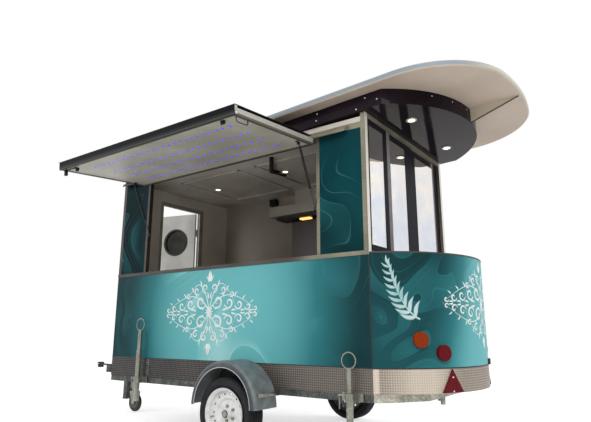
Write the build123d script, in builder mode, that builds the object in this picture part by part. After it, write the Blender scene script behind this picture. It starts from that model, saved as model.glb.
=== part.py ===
from build123d import *
import math
import os

# Frame: +X forward to the coupling, +Y to the serving hatch side, +Z up.
# The origin is on the ground, on the centreline, straight under the wheel axle. Millimetres.

# Body
body_length = 2948
body_width = 1590
axle_to_rear = 1180
wall = 40
floor_top = 643
floor_thickness = 43
sill_bottom = 1440
sill_height = 32
sill_proud = 5
wall_top = 2480
header_height = 49
header_lip = 30
ceiling_thickness = 40
post_width = 40
panel_joint = 1

# Rounded rear bar
bow_bulge = 520
bow_wall_thickness = 30
counter_rise = 20
counter_thickness = 25

# Serving opening, between two jambs on the hatch side
opening_from_rear = 450
opening_from_front = 435
jamb_width = 30

# Glazed wall over the bar
narrow_stile = 22
wide_stile = 112
sash_rail = 50
sash_thickness = 12
pane_thickness = 6

# Chassis
rail_bottom = 420
rail_height = 60
rail_width = 40
rail_inset = 5
rail_gauge = 4
member_width = 40
member_gauge = 3
member_count = 7
skirt_thickness = 5
skirt_lap = 10
bearer_width = 40
bearer_inner = 370
bearer_outer_inset = 95
drawbar_width = 80
drawbar_height = 80
drawbar_gauge = 5
drawbar_tail = 250
drawbar_reach = 1172

# Stand under the drawbar: a channel leg with a foot plate that points forward
stand_back = 480
stand_length = 62
stand_width = 150
stand_gauge = 4
stand_foot_z = 118
stand_foot_reach = 80

# Canopy and roof, whose planes rise towards the rear
roof_slope = 0.05
roof_clear = 8.6
canopy_depth = 123
canopy_overhang = 25
canopy_board = 20
canopy_kink = 158
canopy_bulge = 413
roof_overhang = 145
roof_rear = 985
roof_rear_radius = 2480
roof_corner = 660
roof_front = 60
roof_front_corner = 120
roof_thickness = 48
roof_edge = 10
gusset_reach = 955
gusset_thickness = 6
gusset_rise = 5
gusset_tip = 8

# Wheels
wheel_radius = 274.5
tyre_width = 165
wheel_out = 141
sidewall_rise = 38
shoulder_inset = 30
rim_radius = 195
bead_radius = 178
rim_width = 170
rim_gauge = 6
bead_drop = 18
disc_edge = 30
disc_shoulder = 118
disc_foot = 100
disc_middle = 14
spindle_radius = 20
hub_radius = 34
hub_reach = 64
vent_count = 14
vent_radius = 10
vent_sides = 8
vent_circle = 146
running_gap = 0.3

# Axle and mudguards
axle_lead = 130
axle_tube_size = 70
axle_tube_inset = 55
arm_thickness = 25
arm_height = 56
mudguard_radius = 345
mudguard_z = 330
mudguard_reach = 260
mudguard_gauge = 5
mudguard_round = 42
mudguard_edge = 12
stay_width = 28
stay_thickness = 5
stay_z = 430

# Serving hatch
hatch_open_tilt = 4
hatch_axis_out = 60
hatch_axis_rise = 4
hatch_reach = 937
hatch_overlap = 15
hatch_depth = 50
hatch_lip = 18
hatch_profile = 30
hatch_root_gap = 8
hatch_panel_rise = 4
hatch_panel_thickness = 36
hinge_pin_radius = 4
knuckle_radius = 8
knuckle_length = 70
knuckle_count = 5
hinge_profile_lead = 300
gutter_lip = 12
gutter_drop = 14

# Gas struts
strut_inset = 20
strut_hatch_u = 158
strut_hatch_w = -66
strut_jamb_inset = 8
strut_jamb_drop = 559
strut_eye_radius = 9
strut_eye_width = 12
strut_tube_radius = 10
strut_tube_start = 22
strut_tube_length = 345
strut_rod_radius = 5
strut_rod_hidden = 40
strut_bore_floor = 60
stud_boss = 3
bracket_half = 11
bracket_plate = 5
bracket_foot = 26
bracket_foot_gauge = 3

# Door in the front wall
doorway_right = -285
doorway_width = 568
doorway_top_gap = 160
door_gap = 4
door_thickness = 30
door_axis_out = 6
door_rest_angle = 15
hinge_heights = (880, 1480, 2080)
door_knuckle_radius = 5.5
door_knuckle_length = 40
door_knuckle_half = 12
hinge_strap = 34
hinge_strap_gauge = 3
door_frame_left = 40
door_frame_right = 60
porthole_radius = 150
porthole_centre = 275
porthole_drop = 347
porthole_ring = 18
porthole_lap = 6
porthole_proud = 8
handle_z = 1336
handle_inset = 45
handle_plate = (36, 160, 8)
handle_lever = (100, 22, 12)
handle_neck = 22

# Fittings inside: a hood and a cupboard on the far wall
hood_from_rear = 1320
hood_length = 650
hood_depth = 255
hood_bottom = 2190
hood_height = 112
hood_shelf_drop = 34
hood_shelf_inset = 60
cupboard_from_rear = 1300
cupboard_length = 340
cupboard_top = 2095
cupboard_door = 18

# Props with ring handles, their clamps and the jockey wheel
prop_radius = 24
prop_upper_radius = 19.5
prop_length = 650
prop_upper_length = 190
prop_out = 50
prop_raise = 261
prop_ring_radius = 56
prop_ring_wire = 8
rear_prop_back = 160
front_prop_back = 483
clamp_rise = 2
clamp_height = 58
clamp_wall = 8
clamp_plate_half = 84
clamp_plate_gauge = 6
toggle_reach = 88
toggle_drop = 100
toggle_bar = 12
toggle_radius = 4
jockey_back = 645
jockey_y = 95
jockey_tube_radius = 24
jockey_wheel_radius = 100
jockey_wheel_width = 44
jockey_wheel_edge = 12
jockey_trail = 35
jockey_leg_top = 620
fork_clear = 14
fork_gauge = 8
fork_half = 34
cheek_thickness = 6
crank_radius = 10
crank_reach = 112
crank_grip = 80

# Coupling
ball_ahead = 180
ball_radius = 25
socket_depth = 30
socket_wall = 10
socket_roof = 4
coupling_plate = 12
coupling_half = 34
coupling_overlap = 120
coupling_lever = 24

# Lamps: across from the centreline, height and shape
amber_lamps = ((604, 840, "round"),)
red_lamps = ((468, 750, "round"), (408, 536, "triangle"))
lamp_radius = 55
lamp_depth = 24
lamp_sink = 20
triangle_radius = 105
triangle_depth = 8
downlight_radius = 42
downlight_depth = 8
# Ceiling lights: distance from the rear of the body, and across
ceiling_lights = ((1287, 100), (2326, 0))
soffit_light_back = 214
soffit_light_half = 400

# Places that follow from the sizes above
sides = (("left", 1), ("right", -1))
half_width = body_width / 2
inner_half = half_width - wall
rear_x = -axle_to_rear
front_x = rear_x + body_length
sill_top = sill_bottom + sill_height
counter_top_z = sill_bottom + counter_rise
rail_top = rail_bottom + rail_height
floor_bottom = floor_top - floor_thickness
opening_x0 = rear_x + opening_from_rear
opening_x1 = front_x - opening_from_front
upper_panel_top = wall_top - header_height
opening_top = upper_panel_top - header_lip
ceiling_top = wall_top + ceiling_thickness
canopy_top_at_rear = ceiling_top + roof_clear + roof_slope * body_length
canopy_bottom_at_rear = canopy_top_at_rear - canopy_depth
canopy_half_width = half_width + canopy_overhang
roof_half_width = half_width + roof_overhang
post_top = canopy_bottom_at_rear - roof_slope * post_width
kink_x = rear_x - canopy_kink
slope_stretch = math.sqrt(1 + roof_slope ** 2)
bow_radius = (half_width ** 2 + bow_bulge ** 2) / (2 * bow_bulge)
bow_centre_x = rear_x - bow_bulge + bow_radius
canopy_radius = (canopy_half_width ** 2 + canopy_bulge ** 2) / (2 * canopy_bulge)
canopy_centre_x = kink_x - canopy_bulge + canopy_radius
drawbar_front = front_x + drawbar_reach
drawbar_bottom = rail_top - drawbar_height
hatch_axis_y = half_width + hatch_axis_out
hatch_axis_z = opening_top + hatch_axis_rise
hatch_x0 = opening_x0 - hatch_overlap
hatch_x1 = opening_x1 + hatch_overlap
strut_jamb_y = half_width - strut_jamb_inset
strut_jamb_z = opening_top - strut_jamb_drop
strut_places = (
    ("rear", opening_x0 + strut_inset, 1),
    ("front", opening_x1 - strut_inset, -1),
)
knuckle_pitch = (hatch_x1 - hatch_x0) / knuckle_count
knuckle_places = [hatch_x0 + (index + 0.5) * knuckle_pitch for index in range(knuckle_count)]
doorway_top = wall_top - doorway_top_gap
doorway_left = doorway_right + doorway_width
porthole_z = doorway_top - porthole_drop
door_axis_x = front_x + door_axis_out
tyre_centre_y = half_width + wheel_out
axle_tube_half = half_width - axle_tube_inset
mudguard_outer = half_width + mudguard_reach
prop_y = half_width + prop_out
ball_x = drawbar_front + ball_ahead
jockey_x = drawbar_front - jockey_back
glazed_width = 2 * inner_half
beyond = 2 * body_length

os.makedirs("parts", exist_ok=True)


def block(x, y, z, mode=Mode.ADD):
    """A block between two limits on each axis of the work plane."""
    with Locations(((x[0] + x[1]) / 2, (y[0] + y[1]) / 2, (z[0] + z[1]) / 2)):
        Box(abs(x[1] - x[0]), abs(y[1] - y[0]), abs(z[1] - z[0]), mode=mode)


def bar_along_y(x, z, radius, y, mode=Mode.ADD):
    """A round bar parallel to Y at a place in the side view."""
    with Locations(Location((x, (y[0] + y[1]) / 2, z), (90, 0, 0))):
        Cylinder(radius, abs(y[1] - y[0]), mode=mode)


def bar_along_x(y, z, radius, x, mode=Mode.ADD):
    """A round bar parallel to X at a place in the end view."""
    with Locations(Location(((x[0] + x[1]) / 2, y, z), (0, 90, 0))):
        Cylinder(radius, abs(x[1] - x[0]), mode=mode)


def post(x, y, radius, z, mode=Mode.ADD):
    """A round upright between two heights."""
    with Locations((x, y, (z[0] + z[1]) / 2)):
        Cylinder(radius, z[1] - z[0], mode=mode)


def rear_segment(centre_x, radius, limit_x):
    """The part of a disc that lies behind a line across the trailer."""
    with Locations((centre_x, 0)):
        Circle(radius)
    with Locations((limit_x - radius, 0)):
        Rectangle(2 * radius, 2 * radius, mode=Mode.INTERSECT)


def rear_band(centre_x, radius, thickness, limit_x):
    """A curved wall in plan, the part of a ring that lies behind a line across the trailer."""
    with Locations((centre_x, 0)):
        Circle(radius)
        Circle(radius - thickness, mode=Mode.SUBTRACT)
    with Locations((limit_x - radius, 0)):
        Rectangle(2 * radius, 2 * radius, mode=Mode.INTERSECT)


def plan_outline(centre_x, radius, side, inset):
    """A plan with straight sides and a round rear, moved in by an inset."""
    radius = radius - inset
    side = side - inset
    x_start = centre_x - math.sqrt(radius ** 2 - side ** 2)
    rear_segment(centre_x, radius, x_start)
    with Locations(((x_start + front_x - skirt_thickness) / 2, 0)):
        Rectangle(front_x - skirt_thickness - x_start, 2 * side)


def save(builder, name):
    builder.part.label = name
    export_step(builder.part, f"parts/{name}.step")


def canopy_bottom(x):
    """Height of the canopy's lower plane above a place along the trailer."""
    return canopy_bottom_at_rear - roof_slope * (x - rear_x)


def canopy_top(x):
    """Height of the plane where the canopy meets the roof."""
    return canopy_top_at_rear - roof_slope * (x - rear_x)


def sloped_plane(x, y, height):
    """A work plane parallel to the roof through a place."""
    return Plane(origin=(x, y, height), x_dir=(1, 0, -roof_slope), z_dir=(roof_slope, 0, 1))


canopy_plane = sloped_plane(rear_x, 0, canopy_bottom_at_rear)
canopy_slab = canopy_depth / slope_stretch

# Chassis: two channel rails, a central drawbar beam and square tubes between them.
with BuildPart() as rails:
    for side_name, s in sides:
        web_y = s * (half_width - rail_inset)
        tip_y = web_y - s * rail_width
        block((rear_x, front_x), (tip_y, web_y), (rail_bottom, rail_top))
        block(
            (rear_x, front_x),
            (tip_y, web_y - s * rail_gauge),
            (rail_bottom + rail_gauge, rail_top - rail_gauge),
            mode=Mode.SUBTRACT,
        )
save(rails, "rails")

with BuildPart() as drawbar:
    block((-drawbar_tail, drawbar_front), (-drawbar_width / 2, drawbar_width / 2), (drawbar_bottom, rail_top))
    block(
        (-drawbar_tail, drawbar_front),
        (drawbar_gauge - drawbar_width / 2, drawbar_width / 2 - drawbar_gauge),
        (drawbar_bottom + drawbar_gauge, rail_top - drawbar_gauge),
        mode=Mode.SUBTRACT,
    )
save(drawbar, "drawbar")

member_pitch = (body_length - member_width) / (member_count - 1)
rail_tip = half_width - rail_inset - rail_width
with BuildPart() as crossmembers:
    for index in range(member_count):
        x = rear_x + index * member_pitch
        if x + member_width < -drawbar_tail:
            spans = ((-rail_tip, rail_tip),)
        else:
            spans = ((-rail_tip, -drawbar_width / 2), (drawbar_width / 2, rail_tip))
        for span in spans:
            block((x, x + member_width), span, (rail_bottom, rail_top))
            block(
                (x + member_gauge, x + member_width - member_gauge),
                span,
                (rail_bottom + member_gauge, rail_top - member_gauge),
                mode=Mode.SUBTRACT,
            )
save(crossmembers, "crossmembers")

# A bent beam carries the round rear bar. Half of its plan, from the corner to the middle:
# distance behind the body and inset from its side, for the outer and the inner face.
bow_beam_plan = ((0, 5, 0, 60), (130, 140, 105, 165), (265, 340, 225, 355))
outer_half = [(rear_x - back, half_width - inset) for back, inset, inner_back, inner_inset in bow_beam_plan]
inner_half_plan = [
    (rear_x - inner_back, half_width - inner_inset) for back, inset, inner_back, inner_inset in bow_beam_plan
]
with BuildPart() as bow_beam:
    with BuildSketch(Plane.XY.offset(rail_bottom)):
        with BuildLine():
            Polyline(*outer_half, *[(x, -y) for x, y in reversed(outer_half)], close=True)
        make_face()
        with BuildLine():
            Polyline(*inner_half_plan, *[(x, -y) for x, y in reversed(inner_half_plan)], close=True)
        make_face(mode=Mode.SUBTRACT)
    extrude(amount=rail_height)
save(bow_beam, "bow_beam")

# Under the drawbar: a channel leg, open to the front, with a tapered foot.
stand_x = drawbar_front - stand_back
with BuildPart() as drawbar_stand:
    block(
        (stand_x, stand_x + stand_length),
        (-stand_width / 2, stand_width / 2),
        (stand_foot_z, drawbar_bottom),
    )
    block(
        (stand_x + stand_gauge, stand_x + stand_length),
        (stand_gauge - stand_width / 2, stand_width / 2 - stand_gauge),
        (stand_foot_z + stand_gauge, drawbar_bottom - stand_gauge),
        mode=Mode.SUBTRACT,
    )
    with BuildSketch(Plane.XY.offset(stand_foot_z)):
        with BuildLine():
            Polyline(
                (stand_x + stand_length, -stand_width / 2),
                (stand_x + stand_length + stand_foot_reach, -stand_width / 6),
                (stand_x + stand_length + stand_foot_reach, stand_width / 6),
                (stand_x + stand_length, stand_width / 2),
                close=True,
            )
        make_face()
    extrude(amount=stand_gauge)
save(drawbar_stand, "drawbar_stand")

# Floor: bearers on the chassis and one sandwich panel to the outline of the body.
bearer_outer = half_width - bearer_outer_inset
with BuildPart() as bearers:
    for y in (-bearer_outer, -bearer_inner, bearer_inner, bearer_outer):
        block(
            (rear_x, front_x - skirt_thickness),
            (y - bearer_width / 2, y + bearer_width / 2),
            (rail_top, floor_bottom),
        )
save(bearers, "floor_bearers")

with BuildPart() as floor_panel:
    with BuildSketch(Plane.XY.offset(floor_bottom)):
        plan_outline(bow_centre_x, bow_radius, half_width, skirt_thickness)
    extrude(amount=floor_thickness)
save(floor_panel, "floor_panel")

# Skirt: chequer plate below the painted panels, round the whole body.
with BuildPart() as skirt:
    for side_name, s in sides:
        block(
            (rear_x, front_x),
            (s * (half_width - skirt_thickness), s * half_width),
            (rail_top - skirt_lap, floor_top),
        )
    front_half = half_width - skirt_thickness - panel_joint
    block((front_x - skirt_thickness, front_x), (-front_half, front_half), (rail_top, floor_top))
save(skirt, "skirt")

with BuildPart() as skirt_bow:
    with BuildSketch(Plane.XY.offset(rail_top)):
        rear_band(bow_centre_x, bow_radius, skirt_thickness, rear_x)
    extrude(amount=floor_top - rail_top)
save(skirt_bow, "skirt_bow")

# Body walls: lower panels, sill bars, upper panels and the posts between them.
with BuildPart() as lower_panels:
    for side_name, s in sides:
        block((rear_x, front_x), (s * inner_half, s * half_width), (floor_top, sill_bottom))
save(lower_panels, "side_lower_panels")

with BuildPart() as sills:
    for side_name, s in sides:
        block((rear_x, front_x), (s * inner_half, s * (half_width + sill_proud)), (sill_bottom, sill_top))
save(sills, "sill_bars")

left_wall_y = (inner_half, half_width)
right_wall_y = (-half_width, -inner_half)
with BuildPart() as upper_panels:
    block((rear_x + post_width, opening_x0 - jamb_width), left_wall_y, (sill_top, upper_panel_top))
    block((opening_x1 + jamb_width, front_x - post_width), left_wall_y, (sill_top, upper_panel_top))
    block((rear_x + post_width, front_x - post_width), right_wall_y, (sill_top, wall_top))
save(upper_panels, "side_upper_panels")

with BuildPart() as posts:
    for wall_y in (left_wall_y, right_wall_y):
        block((rear_x, rear_x + post_width), wall_y, (sill_top, post_top))
        block((front_x - post_width, front_x), wall_y, (sill_top, wall_top))
    for x in (opening_x0 - jamb_width, opening_x1):
        block((x, x + jamb_width), left_wall_y, (sill_top, upper_panel_top))
    for strut_name, x, inward in strut_places:
        jamb_face = x - inward * strut_inset
        eye_face = x - inward * (strut_eye_width / 2 + running_gap)
        boss_face = jamb_face + inward * stud_boss
        bar_along_x(strut_jamb_y, strut_jamb_z, strut_rod_radius, (jamb_face, eye_face))
        bar_along_x(strut_jamb_y, strut_jamb_z, strut_eye_radius - 1, (jamb_face, boss_face))
save(posts, "body_posts")

with BuildPart() as header:
    block((rear_x + post_width, front_x - post_width), left_wall_y, (upper_panel_top, wall_top))
    block((opening_x0, opening_x1), left_wall_y, (opening_top, upper_panel_top))
save(header, "opening_header")

front_wall_x = (front_x - wall, front_x)
frame_y = (doorway_right - door_frame_right, doorway_left + door_frame_left)
frame_top = doorway_top + door_frame_left
with BuildPart() as front_wall:
    block(front_wall_x, (-inner_half, inner_half), (floor_top, wall_top))
    block(front_wall_x, frame_y, (floor_top, frame_top), mode=Mode.SUBTRACT)
save(front_wall, "front_wall")

pin_half = door_knuckle_length / 2 + door_knuckle_half
with BuildPart() as door_frame:
    block(front_wall_x, frame_y, (floor_top, frame_top))
    block(front_wall_x, (doorway_right, doorway_left), (floor_top, doorway_top), mode=Mode.SUBTRACT)
    for z in hinge_heights:
        for step in (-1, 1):
            middle = z + step * (door_knuckle_length / 2 + door_knuckle_half + panel_joint)
            knuckle_z = (middle - door_knuckle_half, middle + door_knuckle_half)
            post(door_axis_x, doorway_right, door_knuckle_radius, knuckle_z)
            block(
                (front_x, front_x + hinge_strap_gauge),
                (doorway_right - hinge_strap, doorway_right - panel_joint),
                knuckle_z,
            )
        post(door_axis_x, doorway_right, hinge_pin_radius, (z - pin_half, z + pin_half))
save(door_frame, "door_frame")

# Round bar at the rear: a curved wall with its counter let in at the top.
with BuildPart() as bow_wall:
    with BuildSketch(Plane.XY.offset(floor_top)):
        rear_band(bow_centre_x, bow_radius, bow_wall_thickness, rear_x)
    extrude(amount=counter_top_z - floor_top)
save(bow_wall, "bow_wall")

with BuildPart() as counter:
    with BuildSketch(Plane.XY.offset(counter_top_z - counter_thickness)):
        rear_segment(bow_centre_x, bow_radius - bow_wall_thickness, rear_x)
    extrude(amount=counter_thickness)
save(counter, "bar_counter")

# Glazed wall above the counter: a lower bar, an upper bar and three sashes one behind another.
with BuildPart() as rear_bars:
    for z in ((sill_bottom, sill_top), (post_top - wall, post_top)):
        block((rear_x, rear_x + post_width), (-inner_half, inner_half), z)
save(rear_bars, "rear_bars")

# Each sash from the hatch side across: its edge, its glass, and its other edge
sash_table = (
    (0, narrow_stile, 267, 335),
    (325, 415, 721, 845),
    (830, 961, glazed_width - wide_stile, glazed_width),
)
sash_z = (sill_top, post_top - wall)
glass_z = (sash_z[0] + sash_rail, sash_z[1] - sash_rail)
with BuildPart() as sashes:
    for index, (edge, glass, glass_end, end) in enumerate(sash_table):
        x = rear_x + panel_joint + index * (sash_thickness + panel_joint)
        block((x, x + sash_thickness), (inner_half - end, inner_half - edge), sash_z)
        block(
            (x, x + sash_thickness),
            (inner_half - glass_end, inner_half - glass),
            glass_z,
            mode=Mode.SUBTRACT,
        )
save(sashes, "glazing_sashes")

with BuildPart() as panes:
    for index, (edge, glass, glass_end, end) in enumerate(sash_table):
        sash_x = rear_x + panel_joint + index * (sash_thickness + panel_joint)
        x = sash_x + (sash_thickness - pane_thickness) / 2
        block((x, x + pane_thickness), (inner_half - glass_end, inner_half - glass), glass_z)
save(panes, "glazing_panes")

# Ceiling, canopy and roof. The canopy is the slab between two planes parallel to the roof.
with BuildPart() as ceiling:
    block((rear_x + post_width, front_x), (-half_width, half_width), (wall_top, ceiling_top))
save(ceiling, "ceiling_panel")

with BuildPart() as core:
    with BuildSketch(Plane.XY.offset(ceiling_top)):
        plan_outline(canopy_centre_x, canopy_radius, canopy_half_width, canopy_board)
    extrude(amount=beyond)
    with BuildSketch(canopy_plane):
        Rectangle(2 * beyond, beyond)
    extrude(amount=canopy_slab, mode=Mode.INTERSECT)
save(core, "canopy_core")

with BuildPart() as fascia_sides:
    for side_name, s in sides:
        board_y = (s * (canopy_half_width - canopy_board), s * canopy_half_width)
        block((kink_x, front_x), board_y, (wall_top, beyond))
    with BuildSketch(canopy_plane):
        Rectangle(2 * beyond, beyond)
    extrude(amount=canopy_slab, mode=Mode.INTERSECT)
save(fascia_sides, "fascia_sides")

with BuildPart() as fascia_rear:
    with BuildSketch(Plane.XY.offset(wall_top)):
        rear_band(canopy_centre_x, canopy_radius, canopy_board, kink_x)
    extrude(amount=beyond)
    with BuildSketch(canopy_plane):
        Rectangle(2 * beyond, beyond)
    extrude(amount=canopy_slab, mode=Mode.INTERSECT)
save(fascia_rear, "fascia_rear")

# The roof's rear edge is one long arc that runs smoothly into two round corners.
roof_arc_centre = roof_rear_radius - roof_rear
corner_offset = roof_half_width - roof_corner
corner_reach = roof_rear_radius - roof_corner
corner_x = roof_arc_centre - math.sqrt(corner_reach ** 2 - corner_offset ** 2)
joint_scale = roof_rear_radius / corner_reach
joint_x = roof_arc_centre + (corner_x - roof_arc_centre) * joint_scale
joint_y = corner_offset * joint_scale
roof_end = body_length + roof_front
with BuildPart() as roof:
    with BuildSketch(sloped_plane(rear_x, 0, canopy_top_at_rear)) as roof_sketch:
        with BuildLine():
            for s in (-1, 1):
                TangentArc((corner_x, s * roof_half_width), (joint_x, s * joint_y), tangent=(-1, 0))
                Line((corner_x, s * roof_half_width), (roof_end, s * roof_half_width))
            ThreePointArc((joint_x, joint_y), (-roof_rear, 0), (joint_x, -joint_y))
            Line((roof_end, -roof_half_width), (roof_end, roof_half_width))
        make_face()
        fillet(roof_sketch.vertices().group_by(Axis.X)[-1], roof_front_corner)
    extrude(amount=roof_thickness)
    chamfer(roof.faces().sort_by(Axis.Z)[-1].edges(), roof_edge)
save(roof, "roof_panel")

gusset_root_x = canopy_centre_x - canopy_radius
gusset_tip_x = rear_x - gusset_reach
with BuildPart() as gusset:
    with BuildSketch(Plane.XZ.offset(-gusset_thickness / 2)):
        with BuildLine():
            Polyline(
                (gusset_root_x, canopy_bottom(gusset_root_x) + gusset_rise),
                (gusset_root_x, canopy_top(gusset_root_x)),
                (gusset_tip_x, canopy_top(gusset_tip_x)),
                (gusset_tip_x, canopy_top(gusset_tip_x) - gusset_tip),
                close=True,
            )
        make_face()
    extrude(amount=gusset_thickness)
save(gusset, "roof_gusset")

# Inside, on the far wall: a hood with two shelves under it, and a tall cupboard beside it.
far_wall_y = -inner_half
hood_x0 = rear_x + hood_from_rear
hood_front_y = far_wall_y + hood_depth
with BuildPart() as hood:
    hood_top = hood_bottom + hood_height
    shelf_y = (far_wall_y, hood_front_y - hood_shelf_inset)
    block((hood_x0, hood_x0 + hood_length), (far_wall_y, hood_front_y), (hood_bottom, hood_top))
    block((hood_x0, hood_x0 + hood_length / 2), shelf_y, (hood_top, wall_top))
    block(
        (hood_x0, hood_x0 + hood_length - hood_shelf_inset),
        shelf_y,
        (hood_bottom - hood_shelf_drop, hood_bottom),
    )
save(hood, "interior_hood")

cupboard_x0 = rear_x + cupboard_from_rear
cupboard_x1 = cupboard_x0 + cupboard_length
with BuildPart() as cupboard:
    block((cupboard_x0, cupboard_x1), (far_wall_y, hood_front_y - cupboard_door), (floor_top, cupboard_top))
    block(
        (cupboard_x0 + panel_joint, cupboard_x1 - panel_joint),
        (hood_front_y - cupboard_door, hood_front_y),
        (floor_top + cupboard_door, cupboard_top - cupboard_door),
    )
save(cupboard, "tall_cupboard")

# A gutter profile along the side carries the hatch's hinge knuckles.
profile_x0 = opening_x0 - hinge_profile_lead
with BuildPart() as hinge_profile:
    with BuildSketch(Plane.YZ.offset(profile_x0)):
        with BuildLine():
            Polyline(
                (half_width, upper_panel_top),
                (hatch_axis_y - gutter_lip, upper_panel_top - gutter_drop),
                (hatch_axis_y, hatch_axis_z + hinge_pin_radius),
                (hatch_axis_y + 2, hatch_axis_z + knuckle_radius),
                (hatch_axis_y - gutter_lip / 2, upper_panel_top + hinge_pin_radius),
                (half_width, wall_top - gutter_lip),
                close=True,
            )
        make_face()
    extrude(amount=front_x - post_width - profile_x0)
    relief_x = (hatch_x0 - knuckle_radius, hatch_x1 + knuckle_radius)
    relief = knuckle_radius + 3
    block(
        relief_x,
        (hatch_axis_y - relief, hatch_axis_y + relief),
        (hatch_axis_z - relief, hatch_axis_z + relief),
        mode=Mode.SUBTRACT,
    )
    for centre in knuckle_places:
        knuckle_x = (centre - knuckle_length / 2, centre + knuckle_length / 2)
        bar_along_x(hatch_axis_y, hatch_axis_z, knuckle_radius, knuckle_x)
        block(
            knuckle_x,
            (hatch_axis_y - 2 * knuckle_radius, hatch_axis_y - 3),
            (hatch_axis_z, upper_panel_top - knuckle_radius),
        )
    bar_along_x(hatch_axis_y, hatch_axis_z, hinge_pin_radius + running_gap, relief_x, mode=Mode.SUBTRACT)
save(hinge_profile, "hinge_profile")

# Serving hatch, drawn in its own plane: local x is along the trailer, u runs out from the axis
# and w points away from the underside.
tilt = math.radians(hatch_open_tilt)
hatch_plane = Plane(
    origin=(0, hatch_axis_y, hatch_axis_z),
    x_dir=(1, 0, 0),
    z_dir=(0, math.sin(tilt), math.cos(tilt)),
)
panel_x = (hatch_x0 + hatch_profile, hatch_x1 - hatch_profile)
panel_u = (hatch_root_gap + hatch_profile, hatch_reach - hatch_profile)
panel_w = hatch_panel_rise - hatch_depth
knuckle_relief = knuckle_radius + 6
with BuildPart(hatch_plane) as hatch_frame:
    block((hatch_x0, hatch_x1), (hatch_root_gap, hatch_reach), (-hatch_depth, 0))
    block(panel_x, panel_u, (-hatch_depth, 0), mode=Mode.SUBTRACT)
    block((hatch_x0, hatch_x1), (hatch_reach - hatch_profile, hatch_reach), (0, hatch_lip))
    block(
        panel_x,
        (hatch_root_gap, hatch_root_gap + gutter_lip),
        (-hatch_depth, -knuckle_relief),
        mode=Mode.SUBTRACT,
    )
    for centre in knuckle_places:
        block(
            (centre - knuckle_length / 2 - 5, centre + knuckle_length / 2 + 5),
            (hatch_root_gap, hatch_root_gap + 3),
            (-knuckle_relief, 0),
            mode=Mode.SUBTRACT,
        )
    for index in range(knuckle_count + 1):
        centre = hatch_x0 + index * knuckle_pitch
        x0 = max(hatch_x0, centre - knuckle_length / 2)
        x1 = min(hatch_x1, centre + knuckle_length / 2)
        block((x0, x1), (0, hatch_root_gap), (-hinge_pin_radius, hinge_pin_radius - 1))
    bar_along_x(0, 0, hinge_pin_radius, (hatch_x0, hatch_x1))
save(hatch_frame, "hatch_frame")

with BuildPart(hatch_plane) as hatch_panel:
    block(panel_x, panel_u, (panel_w, panel_w + hatch_panel_thickness))
save(hatch_panel, "hatch_panel")

# Gas struts, one near each jamb. Each cylinder turns on a hatch bracket and its rod
# reaches a stud on the jamb.
strut_hatch_y = hatch_axis_y + strut_hatch_u * math.cos(tilt) + strut_hatch_w * math.sin(tilt)
strut_hatch_z = hatch_axis_z - strut_hatch_u * math.sin(tilt) + strut_hatch_w * math.cos(tilt)
strut_reach = math.hypot(strut_jamb_y - strut_hatch_y, strut_jamb_z - strut_hatch_z)
strut_dir = (
    0,
    (strut_jamb_y - strut_hatch_y) / strut_reach,
    (strut_jamb_z - strut_hatch_z) / strut_reach,
)
tube_end = strut_tube_start + strut_tube_length
rod_start = tube_end - strut_rod_hidden
for strut_name, x, inward in strut_places:
    strut_plane = Plane(origin=(x, strut_hatch_y, strut_hatch_z), x_dir=(1, 0, 0), z_dir=strut_dir)
    with BuildPart(strut_plane) as strut_tube:
        bar_along_x(0, 0, strut_eye_radius, (-strut_eye_width / 2, strut_eye_width / 2))
        post(0, 0, strut_rod_radius, (0, strut_tube_start))
        post(0, 0, strut_tube_radius, (strut_tube_start, tube_end))
        post(0, 0, strut_rod_radius + running_gap, (strut_bore_floor, tube_end), mode=Mode.SUBTRACT)
    save(strut_tube, f"strut_cylinder_{strut_name}")
    with BuildPart(strut_plane) as strut_rod:
        post(0, 0, strut_rod_radius, (rod_start, strut_reach))
        with Locations(Location((0, 0, strut_reach), (0, 90, 0))):
            Cylinder(strut_eye_radius, strut_eye_width)
    save(strut_rod, f"strut_rod_{strut_name}")

with BuildPart(hatch_plane) as hatch_brackets:
    for strut_name, x, inward in strut_places:
        face = x + inward * (strut_eye_width / 2 + running_gap)
        bracket_u = (strut_hatch_u - bracket_half, strut_hatch_u + bracket_half)
        block((face, face + inward * bracket_plate), bracket_u, (strut_hatch_w - strut_eye_radius, panel_w))
        block((face, face + inward * bracket_foot), bracket_u, (panel_w - bracket_foot_gauge, panel_w))
save(hatch_brackets, "hatch_brackets")

# Door, drawn from its hinge axis: s runs along the leaf and t towards its inner face.
door_turn = math.radians(door_rest_angle)
door_plane = Plane(
    origin=(door_axis_x, doorway_right, 0),
    x_dir=(math.cos(door_turn), math.sin(door_turn), 0),
    z_dir=(0, 0, 1),
)
leaf_width = doorway_width - 2 * door_gap
leaf_z = (floor_top + 2 * door_gap, doorway_top - door_gap)
leaf_t = (door_axis_out, door_axis_out + door_thickness)
leaf_middle = door_axis_out + door_thickness / 2
with BuildPart(door_plane) as door_leaf:
    block((door_gap, door_gap + leaf_width), leaf_t, leaf_z)
    bar_along_y(porthole_centre, porthole_z, porthole_radius, leaf_t, mode=Mode.SUBTRACT)
    for z in hinge_heights:
        knuckle_z = (z - door_knuckle_length / 2, z + door_knuckle_length / 2)
        post(0, 0, door_knuckle_radius, knuckle_z)
        block((0, hinge_strap), (door_axis_out - hinge_strap_gauge, door_axis_out), knuckle_z)
        post(0, 0, hinge_pin_radius + running_gap, knuckle_z, mode=Mode.SUBTRACT)
save(door_leaf, "door_leaf")

with BuildPart(door_plane) as porthole_glass:
    glass_t = (leaf_middle - pane_thickness / 2, leaf_middle + pane_thickness / 2)
    bar_along_y(porthole_centre, porthole_z, porthole_radius, glass_t)
save(porthole_glass, "porthole_glass")

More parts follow.
